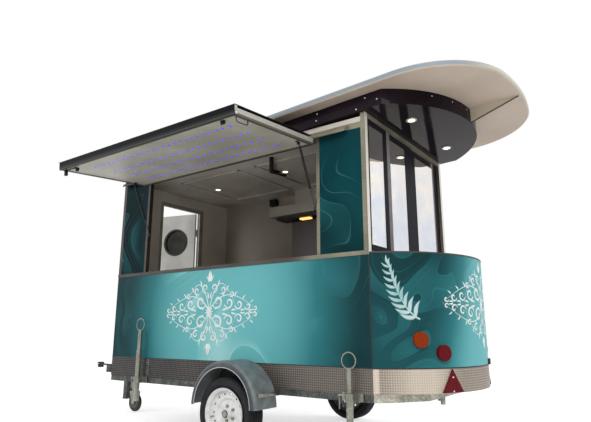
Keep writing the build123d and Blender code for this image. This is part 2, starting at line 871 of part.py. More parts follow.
with BuildPart(door_plane) as door_fittings:
    for ring_t in ((leaf_t[0] - porthole_proud, leaf_t[0]), (leaf_t[1], leaf_t[1] + porthole_proud)):
        bar_along_y(porthole_centre, porthole_z, porthole_radius + porthole_ring, ring_t)
        bar_along_y(porthole_centre, porthole_z, porthole_radius - porthole_lap, ring_t, mode=Mode.SUBTRACT)
    handle_s = door_gap + leaf_width - handle_inset
    plate_width, plate_height, plate_gauge = handle_plate
    lever_length, lever_height, lever_gauge = handle_lever
    plate_t = leaf_t[1] + plate_gauge
    block(
        (handle_s - plate_width / 2, handle_s + plate_width / 2),
        (leaf_t[1], plate_t),
        (handle_z - 0.65 * plate_height, handle_z + 0.35 * plate_height),
    )
    bar_along_y(handle_s, handle_z, lever_height / 2, (plate_t, plate_t + handle_neck))
    block(
        (handle_s + lever_height / 2 - lever_length, handle_s + lever_height / 2),
        (plate_t + handle_neck, plate_t + handle_neck + lever_gauge),
        (handle_z - lever_height / 2, handle_z + lever_height / 2),
    )
save(door_fittings, "door_fittings")

# Axle: a rubber-sprung tube ahead of the wheels with an arm back to each spindle.
axle_tube_z = drawbar_bottom - axle_tube_size / 2
with BuildPart() as axle_tube:
    block(
        (axle_lead - axle_tube_size / 2, axle_lead + axle_tube_size / 2),
        (-axle_tube_half, axle_tube_half),
        (drawbar_bottom - axle_tube_size, drawbar_bottom),
    )
    for s in (-1, 1):
        block(
            (axle_lead - axle_tube_size, axle_lead + axle_tube_size),
            (s * rail_tip, s * (half_width - rail_inset)),
            (drawbar_bottom, rail_bottom),
        )
save(axle_tube, "axle_tube")

arm_angle = math.degrees(math.atan2(axle_tube_z - wheel_radius, axle_lead))
arm_length = math.hypot(axle_lead, axle_tube_z - wheel_radius)
spindle_end = tyre_centre_y + hub_reach - rim_gauge
with BuildPart() as arms:
    for side_name, s in sides:
        with BuildSketch(Plane.XZ.offset(-s * axle_tube_half)):
            with Locations(Location((axle_lead / 2, (axle_tube_z + wheel_radius) / 2, 0), arm_angle)):
                SlotCenterToCenter(arm_length, arm_height)
        extrude(amount=-s * arm_thickness)
        bar_along_y(0, wheel_radius, spindle_radius, (s * (axle_tube_half + arm_thickness), s * spindle_end))
save(arms, "axle_arms")

# Wheels: a turned tyre on a pressed steel rim with a ring of vents, the same on both sides.
# Half of the tyre's section, from the bead over the widest place to the tread: radius and half width.
tyre_half = tyre_width / 2
tyre_section = (
    (bead_radius, tyre_half - bead_drop),
    (rim_radius + sidewall_rise, tyre_half),
    (wheel_radius, tyre_half - shoulder_inset),
)
rim_half = rim_width / 2
barrel_radius = bead_radius - rim_gauge
bore_radius = spindle_radius + running_gap
# The rim's section: the barrel under the tyre, the back of the disc, the hub cap and the disc's face.
rim_section = (
    (rim_radius, rim_half),
    (bead_radius, rim_half - bead_drop),
    (bead_radius, bead_drop - rim_half),
    (rim_radius, -rim_half),
    (barrel_radius, bead_drop - rim_half),
    (barrel_radius, disc_edge),
    (disc_shoulder, disc_edge),
    (disc_foot, disc_middle),
    (bore_radius, disc_middle),
    (bore_radius, hub_reach),
    (hub_radius - 2, hub_reach),
    (hub_radius, disc_middle + rim_gauge),
    (disc_foot, disc_middle + rim_gauge),
    (disc_shoulder, disc_edge + rim_gauge),
    (barrel_radius, disc_edge + rim_gauge),
    (barrel_radius, rim_half - bead_drop),
)
for side_name, s in sides:
    wheel_centre = (0, s * tyre_centre_y, wheel_radius)
    section_plane = Plane(origin=wheel_centre, x_dir=(1, 0, 0), z_dir=(0, 0, s))
    wheel_axis = Axis(wheel_centre, (0, 1, 0))
    with BuildPart() as tyre:
        with BuildSketch(section_plane):
            with BuildLine():
                Polyline(*tyre_section, *[(r, -w) for r, w in reversed(tyre_section)], close=True)
            make_face()
        revolve(axis=wheel_axis)
    save(tyre, f"tyre_{side_name}")
    with BuildPart() as rim:
        with BuildSketch(section_plane):
            with BuildLine():
                Polyline(*rim_section, close=True)
            make_face()
        revolve(axis=wheel_axis)
        with BuildSketch(Plane(origin=wheel_centre, x_dir=(1, 0, 0), z_dir=(0, s, 0))):
            with PolarLocations(vent_circle, vent_count):
                RegularPolygon(vent_radius, vent_sides)
        extrude(amount=rim_half, mode=Mode.SUBTRACT)
    save(rim, f"rim_{side_name}")

# Mudguards: an arch with a rounded outer edge over each wheel, and a flat stay behind it.
crown = mudguard_z + mudguard_radius
inner_round = mudguard_round - mudguard_gauge
diagonal = math.sqrt(0.5)
with BuildPart() as mudguards:
    for side_name, s in sides:
        edge_y = s * mudguard_outer
        round_y = s * (mudguard_outer - mudguard_round)
        round_z = crown - mudguard_round
        with BuildSketch(Plane.YZ):
            with BuildLine():
                Polyline((s * half_width, crown - mudguard_gauge), (s * half_width, crown), (round_y, crown))
                ThreePointArc(
                    (round_y, crown),
                    (round_y + s * mudguard_round * diagonal, round_z + mudguard_round * diagonal),
                    (edge_y, round_z),
                )
                Polyline(
                    (edge_y, round_z),
                    (edge_y, round_z - mudguard_edge),
                    (edge_y - s * mudguard_gauge, round_z - mudguard_edge),
                    (edge_y - s * mudguard_gauge, round_z),
                )
                Polyline(
                    (edge_y - s * mudguard_gauge, round_z),
                    (round_y + s * inner_round * diagonal, round_z + inner_round * diagonal),
                    (round_y, crown - mudguard_gauge),
                    (s * half_width, crown - mudguard_gauge),
                )
            make_face()
        revolve(axis=Axis((0, 0, mudguard_z), (0, 1, 0)), revolution_arc=90)
    mirror(about=Plane.YZ)
save(mudguards, "mudguards")

stay_drop = stay_z - mudguard_z
stay_x = -math.sqrt(mudguard_radius ** 2 - (stay_drop - stay_width / 2) ** 2)
with BuildPart() as stays:
    for side_name, s in sides:
        block(
            (stay_x - stay_thickness, stay_x),
            (s * (half_width - rail_inset), s * (mudguard_outer - mudguard_round)),
            (stay_z - stay_width / 2, stay_z + stay_width / 2),
        )
save(stays, "mudguard_stays")

# Coupling: a cast head over the end of the drawbar with a ball socket open downwards and a lever.
head_x = drawbar_front - coupling_overlap
nose_half = coupling_half + 4
lever_z = rail_top + coupling_plate
with BuildPart() as coupling:
    with BuildSketch(Plane.XY.offset(rail_top)):
        with BuildLine():
            Polyline(
                (ball_x - ball_radius, -nose_half),
                (head_x, -coupling_half),
                (head_x, coupling_half),
                (ball_x - ball_radius, nose_half),
            )
            ThreePointArc(
                (ball_x - ball_radius, nose_half),
                (ball_x + nose_half, 0),
                (ball_x - ball_radius, -nose_half),
            )
        make_face()
    extrude(amount=coupling_plate)
    post(ball_x, 0, ball_radius + socket_wall, (rail_top - socket_depth, rail_top))
    post(ball_x, 0, ball_radius, (rail_top - socket_depth, rail_top - socket_roof), mode=Mode.SUBTRACT)
    with BuildSketch(Plane.XZ.offset(-coupling_lever / 2)):
        with BuildLine():
            Polyline(
                (ball_x - 60, lever_z),
                (ball_x - 40, lever_z + coupling_lever),
                (ball_x + 62, lever_z + coupling_lever - 4),
                (ball_x + 70, lever_z + coupling_plate),
                (ball_x + 10, lever_z),
                close=True,
            )
        make_face()
    extrude(amount=coupling_lever)
save(coupling, "coupling_head")

# Props: four tubes with ring handles in clamps on the rails. The rear left one stands on the ground.
prop_table = (
    ("front_left", front_x - front_prop_back, 1, prop_raise),
    ("front_right", front_x - front_prop_back, -1, prop_raise),
    ("rear_left", rear_x + rear_prop_back, 1, 0),
    ("rear_right", rear_x + rear_prop_back, -1, prop_raise),
)
for prop_name, x, s, raised in prop_table:
    prop_top = raised + prop_length
    with BuildPart() as prop:
        post(x, s * prop_y, prop_radius, (raised, prop_top - prop_upper_length))
        post(x, s * prop_y, prop_upper_radius, (prop_top - prop_upper_length, prop_top))
        ring_z = prop_top - prop_ring_wire + prop_ring_radius
        with BuildSketch(Plane.XY.offset(ring_z)):
            with Locations((x + prop_ring_radius, s * prop_y)):
                Rectangle(prop_ring_wire, prop_ring_wire)
        revolve(axis=Axis((x, s * prop_y, ring_z), (0, 1, 0)))
    save(prop, f"prop_{prop_name}")

clamp_z = (rail_bottom + clamp_rise, rail_bottom + clamp_rise + clamp_height)
clamp_bore = prop_radius + running_gap
toggle_z = clamp_z[1] - clamp_wall
with BuildPart() as clamps:
    for prop_name, x, s, raised in prop_table:
        post(x, s * prop_y, clamp_bore + clamp_wall, clamp_z)
        plate_y = (s * half_width, s * (half_width + clamp_plate_gauge))
        block((x - clamp_plate_half, x + clamp_plate_half), plate_y, clamp_z)
        block((x - prop_radius, x + prop_radius), (s * half_width, s * (prop_y - prop_radius)), clamp_z)
        toggle_y = (s * (prop_y - toggle_bar / 2), s * (prop_y + toggle_bar / 2))
        block((x + clamp_bore, x + toggle_reach), toggle_y, (toggle_z - toggle_bar, toggle_z))
        post(x + toggle_reach - toggle_bar / 2, s * prop_y, toggle_radius, (toggle_z - toggle_drop, toggle_z))
        post(x, s * prop_y, clamp_bore, clamp_z, mode=Mode.SUBTRACT)
    jockey_clamp_z = (drawbar_bottom + 10, rail_top - 10)
    jockey_bore = jockey_tube_radius + running_gap
    post(jockey_x, jockey_y, jockey_bore + clamp_wall, jockey_clamp_z)
    block(
        (jockey_x - jockey_tube_radius, jockey_x + jockey_tube_radius),
        (drawbar_width / 2, jockey_y - jockey_tube_radius),
        jockey_clamp_z,
    )
    post(jockey_x, jockey_y, jockey_bore, jockey_clamp_z, mode=Mode.SUBTRACT)
save(clamps, "leg_clamps")

# Jockey wheel: a tube in its clamp, a swivelling fork and the wheel.
fork_bottom = 2 * jockey_wheel_radius + fork_clear
fork_top = fork_bottom + fork_gauge
crank_z = jockey_leg_top + 4 * crank_radius
with BuildPart() as jockey_leg:
    post(jockey_x, jockey_y, jockey_tube_radius, (fork_top + running_gap, jockey_leg_top))
    post(jockey_x, jockey_y, crank_radius, (jockey_leg_top, crank_z))
    block(
        (jockey_x - crank_radius, jockey_x + crank_reach + crank_radius),
        (jockey_y - crank_radius / 2, jockey_y + crank_radius / 2),
        (crank_z, crank_z + crank_radius),
    )
    post(jockey_x + crank_reach, jockey_y, crank_radius, (crank_z + crank_radius, crank_z + crank_grip))
save(jockey_leg, "jockey_leg")

wheel_x = jockey_x - jockey_trail
hub_half = 22
axle_drop = 16
with BuildPart() as jockey_fork:
    block(
        (wheel_x - fork_half, jockey_x + fork_half),
        (jockey_y - fork_half, jockey_y + fork_half),
        (fork_bottom, fork_top),
    )
    for s in (-1, 1):
        with BuildSketch(Plane.XZ.offset(-(jockey_y + s * fork_half))):
            with BuildLine():
                Polyline(
                    (wheel_x - hub_half, jockey_wheel_radius - axle_drop),
                    (wheel_x + hub_half, jockey_wheel_radius - axle_drop),
                    (jockey_x + fork_half, fork_bottom),
                    (wheel_x - fork_half, fork_bottom),
                    close=True,
                )
            make_face()
        extrude(amount=s * cheek_thickness)
    bar_along_y(
        wheel_x,
        jockey_wheel_radius,
        fork_gauge,
        (jockey_y - fork_half + cheek_thickness, jockey_y + fork_half - cheek_thickness),
    )
save(jockey_fork, "jockey_fork")

jockey_half = jockey_wheel_width / 2
wheel_y = (jockey_y - jockey_half, jockey_y + jockey_half)
with BuildPart() as jockey_wheel:
    bar_along_y(wheel_x, jockey_wheel_radius, jockey_wheel_radius, wheel_y)
    chamfer(jockey_wheel.edges().filter_by(GeomType.CIRCLE), jockey_wheel_edge)
    bar_along_y(wheel_x, jockey_wheel_radius, fork_gauge + running_gap, wheel_y, mode=Mode.SUBTRACT)
save(jockey_wheel, "jockey_wheel")

# Lamps on the round rear. Each is cut to the curve it sits on.
for group_name, lamps in (("rear_lamps_amber", amber_lamps), ("rear_lamps_red", red_lamps)):
    with BuildPart() as lamp_group:
        for across, height, shape in lamps:
            for s in (-1, 1):
                angle = math.asin(across / bow_radius)
                normal = (-math.cos(angle), s * math.sin(angle), 0)
                centre = (bow_centre_x + bow_radius * normal[0], bow_radius * normal[1], height)
                lamp_plane = Plane(origin=centre, x_dir=(-normal[1], normal[0], 0), z_dir=normal)
                with BuildSketch(lamp_plane.offset(-lamp_sink)):
                    if shape == "round":
                        Circle(lamp_radius)
                        proud = lamp_depth
                    else:
                        RegularPolygon(triangle_radius, 3, rotation=90)
                        proud = triangle_depth
                extrude(amount=lamp_sink + proud)
        post(bow_centre_x, 0, bow_radius, (0, beyond), mode=Mode.SUBTRACT)
    save(lamp_group, group_name)

soffit_x = rear_x - soffit_light_back
with BuildPart() as downlights:
    for back, across in ceiling_lights:
        post(rear_x + back, across, downlight_radius, (wall_top - downlight_depth, wall_top))
    for s in (-1, 1):
        light_plane = sloped_plane(soffit_x, s * soffit_light_half, canopy_bottom(soffit_x))
        with BuildSketch(light_plane.offset(-downlight_depth)):
            Circle(downlight_radius)
        extrude(amount=downlight_depth)
save(downlights, "downlights")
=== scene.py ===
import contextlib
import math

import bmesh
import bpy
from mathutils import Matrix, Vector


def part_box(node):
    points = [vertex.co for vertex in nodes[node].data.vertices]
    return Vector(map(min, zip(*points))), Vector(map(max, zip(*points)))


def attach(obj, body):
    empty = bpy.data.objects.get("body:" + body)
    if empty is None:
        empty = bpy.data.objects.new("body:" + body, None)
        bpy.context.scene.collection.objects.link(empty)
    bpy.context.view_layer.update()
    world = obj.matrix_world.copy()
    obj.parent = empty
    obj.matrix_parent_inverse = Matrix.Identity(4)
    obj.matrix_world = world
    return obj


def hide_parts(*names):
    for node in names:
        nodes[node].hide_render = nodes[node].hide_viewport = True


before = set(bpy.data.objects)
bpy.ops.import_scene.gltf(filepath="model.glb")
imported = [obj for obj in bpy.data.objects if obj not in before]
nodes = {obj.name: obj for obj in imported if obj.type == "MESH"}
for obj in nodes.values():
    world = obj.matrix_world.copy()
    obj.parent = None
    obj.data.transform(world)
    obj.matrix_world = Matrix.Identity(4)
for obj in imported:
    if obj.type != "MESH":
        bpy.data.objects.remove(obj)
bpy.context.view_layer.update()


# Camera: low behind the left rear corner, looking up at the hatch and the rounded bar.
# The photograph's horizon and vanishing lines give its place, its turn and its lens.
camera_place = Vector((-2.9206, 4.1096, 0.9034))
camera_yaw = math.radians(-54.13)
camera_pitch = math.radians(13.03)
focal_pixels = 516.2
photo_width = 591

camera_data = bpy.data.cameras.new("camera")
camera_data.sensor_fit = "HORIZONTAL"
camera_data.sensor_width = 36
camera_data.lens = focal_pixels / photo_width * camera_data.sensor_width
camera_data.clip_end = 200
camera = bpy.data.objects.new("camera", camera_data)
camera.location = camera_place
camera.rotation_euler = (math.pi / 2 + camera_pitch, 0, camera_yaw - math.pi / 2)
bpy.context.scene.collection.objects.link(camera)
bpy.context.scene.camera = camera


# Studio: a pale floor, a white background and soft lamps from above and behind the camera.
# The world and the floor show white to the camera, to mirrors and through glass, and light
# the object at a lower level. Shader maths is Python arithmetic on sockets, through Shade.
floor_size = 60
floor_grey = 0.8
floor_glow = 0.62
world_strength = 0.5
lamp_aim = Vector((0, 0, 1.2))
lamp_table = (
    # name, place, size, watts, shows in mirrors
    ("key", (-5.5, 6.5, 6.0), 5.0, 330, True),
    ("fill", (5.5, 6.0, 3.5), 4.0, 130, True),
    ("back", (-6.0, -5.0, 4.0), 5.0, 170, False),
)


def paint(code):
    """The linear colour behind a hexadecimal paint code."""
    parts = [int(code[index:index + 2], 16) / 255 for index in (0, 2, 4)]
    return (*[part / 12.92 if part < 0.04 else ((part + 0.055) / 1.055) ** 2.4 for part in parts], 1)


class Shade:
    """A shader socket: arithmetic on it adds Math nodes, and node() adds any other node."""

    def __init__(self, tree, socket=None):
        self.tree = tree
        self.socket = socket

    def node(self, kind, settings, inputs, output=0):
        """A node: its settings come first, then its sockets' values or links."""
        made = self.tree.nodes.new("ShaderNode" + kind)
        for name, value in settings.items():
            if name == "stops":
                for stop, (position, tint) in zip((0, -1), (value[0], value[-1])):
                    made.color_ramp.elements[stop].position = position
                    made.color_ramp.elements[stop].color = paint(tint)
                for position, tint in value[1:-1]:
                    made.color_ramp.elements.new(position).color = paint(tint)
            else:
                setattr(made, name, value)
        for name, value in inputs.items():
            if isinstance(value, Shade):
                self.tree.links.new(value.socket, made.inputs[name])
            else:
                made.inputs[name].default_value = value
        return Shade(self.tree, made.outputs[output])

    def math(self, operation, *values):
        return self.node("Math", {"operation": operation}, dict(enumerate((self, *values))))

    def __add__(self, other):
        return self.math("ADD", other)

    __radd__ = __add__

    def __mul__(self, other):
        return self.math("MULTIPLY", other)

    __rmul__ = __mul__

    def __sub__(self, other):
        return self.math("SUBTRACT", other)

    def __rsub__(self, other):
        return self * -1 + other

    def __truediv__(self, other):
        return self.math("DIVIDE", other)

    def __abs__(self):
        return self.math("ABSOLUTE")

    def rise(self, low, high):
        """0 below the low value and 1 above the high one, smooth between, or the other way round."""
        limits = {"Value": self, "From Min": low, "From Max": high}
        return self.node("MapRange", {"interpolation_type": "SMOOTHSTEP"}, limits)

    def between(self, first, second):
        """A colour between two, each a paint code or a socket, by this value."""
        first, second = [paint(tint) if isinstance(tint, str) else tint for tint in (first, second)]
        return self.node("Mix", {"data_type": "RGBA"}, {0: self, 6: first, 7: second}, 2)

    def axes(self):
        return [self.node("SeparateXYZ", {}, {0: self}, name) for name in "XYZ"]

    def noise(self, scale, detail, twist=0.0):
        """Cloudy variation between 0 and 1 over these coordinates, twisted into swirls."""
        inputs = {"Vector": self, "Scale": scale, "Detail": detail, "Distortion": twist}
        return self.node("TexNoise", {}, inputs)

    def stretched(self, stretch):
        """These coordinates with each axis stretched."""
        return self.node("VectorMath", {"operation": "MULTIPLY"}, {0: self, 1: stretch})

    def bump(self, distance, strength):
        return self.node("Bump", {}, {"Height": self, "Distance": distance, "Strength": strength})

    def to(self, socket):
        self.tree.links.new(self.socket, socket)


def looked_at(tree):
    """1 for the rays that the camera sees, straight, in mirrors or through glass."""
    ray = Shade(tree)
    seen = ray.node("LightPath", {}, {}, "Is Camera Ray")
    for kind in ("Is Glossy Ray", "Is Transmission Ray"):
        seen = seen.math("MAXIMUM", ray.node("LightPath", {}, {}, kind))
    return seen


world = bpy.data.worlds.new("studio")
bpy.context.scene.world = world
world.use_nodes = True
background = world.node_tree.nodes["Background"]
background.inputs["Color"].default_value = (1, 1, 1, 1)
(looked_at(world.node_tree) * (1 - world_strength) + world_strength).to(background.inputs["Strength"])

for lamp_name, place, size, watts, mirrored in lamp_table:
    lamp_data = bpy.data.lights.new(lamp_name, "AREA")
    lamp_data.shape = "DISK"
    lamp_data.size = size
    lamp_data.energy = watts
    lamp = bpy.data.objects.new(lamp_name, lamp_data)
    lamp.location = place
    lamp.visible_glossy = mirrored
    lamp.rotation_euler = (lamp_aim - Vector(place)).to_track_quat("-Z", "Y").to_euler()
    bpy.context.scene.collection.objects.link(lamp)

bpy.ops.mesh.primitive_plane_add(size=floor_size, location=(0, 0, 0))
floor = bpy.context.object
floor.name = "studio_floor"
floor_material = bpy.data.materials.new("studio_floor")
floor_material.use_nodes = True
floor_inputs = floor_material.node_tree.nodes["Principled BSDF"].inputs
floor_inputs["Base Color"].default_value = (floor_grey, floor_grey, floor_grey, 1)
floor_inputs["Roughness"].default_value = 0.9
floor_inputs["Emission Color"].default_value = (1, 1, 1, 1)
(looked_at(floor_material.node_tree) * floor_glow).to(floor_inputs["Emission Strength"])
floor.data.materials.append(floor_material)


# Chassis: rails, cross tubes, the bent beam under the bar and the drawbar, of steel tube
# dipped in zinc. The frame's skin is dull and painted dark as shade, and the bent beam's is
# cloudy and painted pale as light. A stub of tube is welded under the bent beam.
stub_radius = 0.018
stub_place = (-1.425, 0.16)
stub_length = 0.055
stub_sunk = 0.004


def new_finish(name, constants):
    """A material, the start of its shader maths and its shader's inputs, with constants set."""
    material = bpy.data.materials.new(name)
    material.use_nodes = True
    inputs = material.node_tree.nodes["Principled BSDF"].inputs
    for socket, value in constants.items():
        inputs[socket].default_value = value
    place = Shade(material.node_tree).node("TexCoord", {}, {}, "Object")
    return material, place, inputs


def dress(material, *names):
    """Gives CAD nodes a finish."""
    for name in names:
        for material_slot in nodes[name].material_slots:
            material_slot.material = material


def fit(piece, name, material, body):
    """Names a new piece, finishes it and fixes it to its body."""
    piece.name = name
    piece.data.name = name
    piece.data.materials.clear()
    piece.data.materials.append(material)
    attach(piece, body)


def alone(piece):
    """Selects one piece and nothing else."""
    bpy.ops.object.select_all(action="DESELECT")
    piece.select_set(True)
    bpy.context.view_layer.objects.active = piece


@contextlib.contextmanager
def edit_mode():
    """Edit mode for as long as a block lasts, with all of the mesh selected at first."""
    bpy.ops.object.mode_set(mode="EDIT")
    bpy.ops.mesh.select_all(action="SELECT")
    yield
    bpy.ops.object.mode_set(mode="OBJECT")


def pick(piece, kind, wanted):
    """In edit mode, selects only the faces or edges that pass a test."""
    bpy.ops.mesh.select_all(action="DESELECT")
    shape = bmesh.from_edit_mesh(piece.data)
    for part in getattr(shape, kind):
        part.select_set(wanted(part))
    bmesh.update_edit_mesh(piece.data)


def smooth(piece, angle=40):
    """Smooth shading, sharp past an angle."""
    alone(piece)
    bpy.ops.object.shade_smooth_by_angle(angle=math.radians(angle))
    return piece


def rounded(piece, edge, sides):
    """Applies a new block's size and place, and rounds the faces that have so many sides."""
    bpy.ops.object.transform_apply(location=True, rotation=True, scale=True)
    with edit_mode():
        pick(piece, "faces", lambda face: len(face.verts) == sides)
        bpy.ops.mesh.bevel(offset=edge, segments=2, affect="EDGES")
    return smooth(piece)


def bar(low, high, edge):
    """A block between two corners, its edges rounded."""
    low, high = Vector(low), Vector(high)
    bpy.ops.mesh.primitive_cube_add(size=1, location=(low + high) / 2)
    piece = bpy.context.object
    piece.scale = high - low
    return rounded(piece, edge, 4)


def rod(start, end, radius, edge, sides=24):
    """A round bar between two points, its ends rounded."""
    start, end = Vector(start), Vector(end)
    bpy.ops.mesh.primitive_cylinder_add(
        vertices=sides,
        radius=radius,
        depth=(end - start).length,
        location=(start + end) / 2,
        rotation=(end - start).to_track_quat("Z", "Y").to_euler(),
    )
    return rounded(bpy.context.object, edge, sides)


def wire(points, radii, roundness, capped):
    """A wire through points, with its radius at each, as a mesh."""
    curve = bpy.data.curves.new("wire", "CURVE")
    curve.dimensions = "3D"
    curve.bevel_depth = 1.0
    curve.bevel_resolution = roundness
    curve.use_fill_caps = capped
    spline = curve.splines.new("POLY")
    spline.points.add(len(points) - 1)
    for point, place, radius in zip(spline.points, points, radii):
        point.co = (*place, 1)
        point.radius = radius
    bent = bpy.data.objects.new("wire", curve)
    bpy.context.scene.collection.objects.link(bent)
    alone(bent)
    bpy.ops.object.convert(target="MESH")
    return bpy.context.object


def copied(piece, move):
    """A copy with its own mesh, moved by a matrix."""
    twin = piece.copy()
    twin.data = piece.data.copy()
    twin.data.transform(move)
    bpy.context.scene.collection.objects.link(twin)
    return twin


def joined(pieces):
    """Several pieces as one mesh."""
    bpy.ops.object.select_all(action="DESELECT")
    for piece in pieces:
        piece.select_set(True)
    bpy.context.view_layer.objects.active = pieces[0]
    bpy.ops.object.join()
    return bpy.context.object


def dipped(name, dark, pale, mottle, dullness):
    """Zinc-dipped steel from its two tones, how cloudy it is and how dull."""
    material, place, inputs = new_finish(name, {"Metallic": 0.75, "Specular IOR Level": 0.4})
    clouds = place.noise(9, 5)
    spangle = place.node("TexVoronoi", {}, {"Vector": place, "Scale": 60}, "Distance")
    skin = ((clouds * 0.8 + spangle * 0.35 - 0.62) * mottle + 0.5).rise(0.0, 1.0)
    skin.between(dark, pale).to(inputs["Base Color"])
    (dullness - skin * 0.2).to(inputs["Roughness"])
    (clouds + spangle * 0.3).bump(0.0005, 0.2 * mottle).to(inputs["Normal"])
    return material


# The frame's copy is painted dark as shade and the bent beam's copy pale as light.
zinc_painted_shade = dipped("zinc_frame_painted_shade", "34383a", "6a6d68", 1.6, 0.65)
zinc_beam_painted_light = dipped("zinc_beam_painted_light", "8a887d", "d0ccbd", 1.6, 0.6)
dress(zinc_painted_shade, "rails", "crossmembers", "drawbar", "axle_tube", "drawbar_stand")
dress(zinc_beam_painted_light, "bow_beam")

rail_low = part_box("rails")[0].z
stub = rod((*stub_place, rail_low - stub_length), (*stub_place, rail_low + stub_sunk), stub_radius, 0.002)
fit(stub, "bow_beam_stub", zinc_beam_painted_light, "trailer")


# Floor: a sealed sandwich board on wooden bearers, seen from below and through the openings.
# The brown board has long, faint grain.
board_dark = "3b2c20"
board_pale = "6a5340"

board, place, inputs = new_finish("sealed_board", {"Roughness": 0.6})
grain = place.stretched((1.2, 22, 22)).noise(3, 6)
grain.rise(0.3, 0.75).between(board_dark, board_pale).to(inputs["Base Color"])
grain.bump(0.0005, 0.5).to(inputs["Normal"])
dress(board, "floor_bearers", "floor_panel")


# Skirt: aluminium plate rolled with small raised squares, their tops painted lighter as a
# highlight. It is painted warm and bright round the rear bar as light, with painted glints,
# and darker along the side as a painted reflection of the ground. It is bent and riveted to the frame.
# A dark trim covers the joint between plate and film, and a strip covers the plate's seam.
plate_pitch = 0.0172
plate_sunny, plate_shady = -1.25, 0.9
end_glint_at = 0.985
broad_glint_at = 0.64
film_edge_height = 0.008
film_edge_proud = 0.002
film_edge_round = 0.0004
film_corner = (0.004, 0.006)
cover_strip = (1.19, 1.235)
cover_gaps = (0.012, 0.004)
cover_half = 0.002
bracket_ends = (-0.29, -0.18)
bracket_heights = (0.004, 0.046)
bracket_depth = 0.016

body_low, body_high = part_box("side_lower_panels")
rear_x, half_width, front_x = body_low.x, body_high.y, body_high.x
floor_top, sill_bottom = body_low.z, body_high.z
bow_bulge = rear_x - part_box("bow_wall")[0].x
bow_radius = (half_width ** 2 + bow_bulge ** 2) / (2 * bow_bulge)
bow_centre = rear_x - bow_bulge + bow_radius
bow_end = math.asin(half_width / bow_radius)


def round_bow(place):
    """Distance round the bar from its middle, towards the hatch side, and up from the floor."""
    x, y, z = place.axes()
    angle = y.math("ARCTAN2", bow_centre - x)
    return angle * bow_radius, z - floor_top


def waves(lengths, pitch):
    """A wave along each of a surface's lengths, from -1 to 1."""
    return [(length * (math.tau / pitch)).math("SINE") for length in lengths]


def rolled_plate(inputs, along, up, level, dark, pale, top_highlight):
    """Raised squares in rows with painted highlights on their tops, from two lengths and a painted
    brightness.
    """
    across, upward = waves((along, up), plate_pitch)
    raised = across.rise(-0.1, 0.6) * upward.rise(-0.1, 0.6)
    level = (level + raised * top_highlight).rise(0.0, 1.0)
    level.between(dark, pale).to(inputs["Base Color"])
    (0.52 - raised * 0.2).to(inputs["Roughness"])
    raised.bump(0.0014, 0.9).to(inputs["Normal"])


def mottled(name, constants, tones, cloud, pebble, spread=None):
    """A finish clouded between two tones, with a fine pebble. The spread sharpens its clouds."""
    material, place, inputs = new_finish(name, constants)
    level = place.noise(*cloud)
    if spread:
        level = level.rise(*spread)
    level.between(*tones).to(inputs["Base Color"])
    scale, detail, depth, strength = pebble
    place.noise(scale, detail).bump(depth, strength).to(inputs["Normal"])
    return material


plate_flat, place, inputs = new_finish("rolled_plate_flat", {"Metallic": 0.6})
x, y, z = place.axes()
# Painted light: brighter towards the rear bar, darker forward along the side as a painted reflection of the
# ground, over cloudy mottle.
painted_light_and_clouds = x.rise(plate_shady, plate_sunny) * 0.34 + place.noise(3, 3) * 0.22 - 0.02
rolled_plate(inputs, x + y, z, painted_light_and_clouds, "232528", "958b7f", 0.44)
dress(plate_flat, "skirt")

plate_bow, place, inputs = new_finish("rolled_plate_bow", {"Metallic": 0.65})
along, up = round_bow(place)
# Painted highlights: a narrow glint near each end of the bar and a broad one on its hatch side, over
# streaks.
end_glint = abs(abs(along) - end_glint_at).rise(0.032, 0.01) * 0.4
broad_glint = abs(along - broad_glint_at).rise(0.34, 0.04) * 0.36
streaks = place.stretched((1, 1, 0.05)).noise(5, 3)
painted_light_and_clouds = end_glint + broad_glint + streaks * 0.22 + 0.16
rolled_plate(inputs, along, up, painted_light_and_clouds, "6a625b", "dccfbe", 0.30)
dress(plate_bow, "skirt_bow")

seal_black = mottled("black_seal", {"Roughness": 0.55}, ("0c0d0f", "1b1c1f"), (40, 4), (200, 2, 0.0003, 0.5))


def bow_band(low, high, thickness, ends, steps=48):
    """A thin band round the bar between two heights, from one angle to the other."""
    bpy.ops.mesh.primitive_grid_add(x_subdivisions=steps, y_subdivisions=1, size=1)
    piece = bpy.context.object
    middle = bow_radius + thickness / 2
    for vertex in piece.data.vertices:
        angle = ends[0] + (vertex.co.x + 0.5) * (ends[1] - ends[0])
        height = low + (vertex.co.y + 0.5) * (high - low)
        vertex.co = (bow_centre - middle * math.cos(angle), middle * math.sin(angle), height)
    shell = piece.modifiers.new("sheet", "SOLIDIFY")
    shell.thickness = thickness
    shell.offset = 0
    bpy.ops.object.modifier_apply(modifier=shell.name)
    return smooth(faced_out(piece))


def faced_out(piece):
    """Turns a mesh's faces outwards."""
    alone(piece)
    with edit_mode():
        bpy.ops.mesh.normals_make_consistent(inside=False)
    return piece


edges = []
for side in (1, -1):
    inner, outer = side * half_width - film_edge_proud, side * half_width + film_edge_proud
    along_side = bar(
        (rear_x, inner, floor_top), (front_x, outer, floor_top + film_edge_height), film_edge_round
    )
    up_corner = bar(
        (rear_x - film_edge_proud, side * half_width - film_corner[0], floor_top),
        (rear_x + film_corner[1], outer, sill_bottom),
        film_edge_round,
    )
    edges += [along_side, up_corner]
edges.append(bow_band(floor_top, floor_top + film_edge_height, film_edge_proud, (-bow_end, bow_end)))
fit(joined(edges), "film_edges", seal_black, "trailer")

cover = bar(
    (cover_strip[0], half_width - cover_half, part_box("skirt")[0].z + cover_gaps[0]),
    (cover_strip[1], half_width + cover_half, floor_top - cover_gaps[1]),
    0.001,
)
fit(cover, "skirt_cover_strip", zinc_painted_shade, "trailer")

bracket_low, bracket_high = [floor_top + height for height in bracket_heights]
bracket = bow_band(bracket_low, bracket_high, bracket_depth, bracket_ends, 6)
fit(bracket, "bow_end_bracket", seal_black, "trailer")
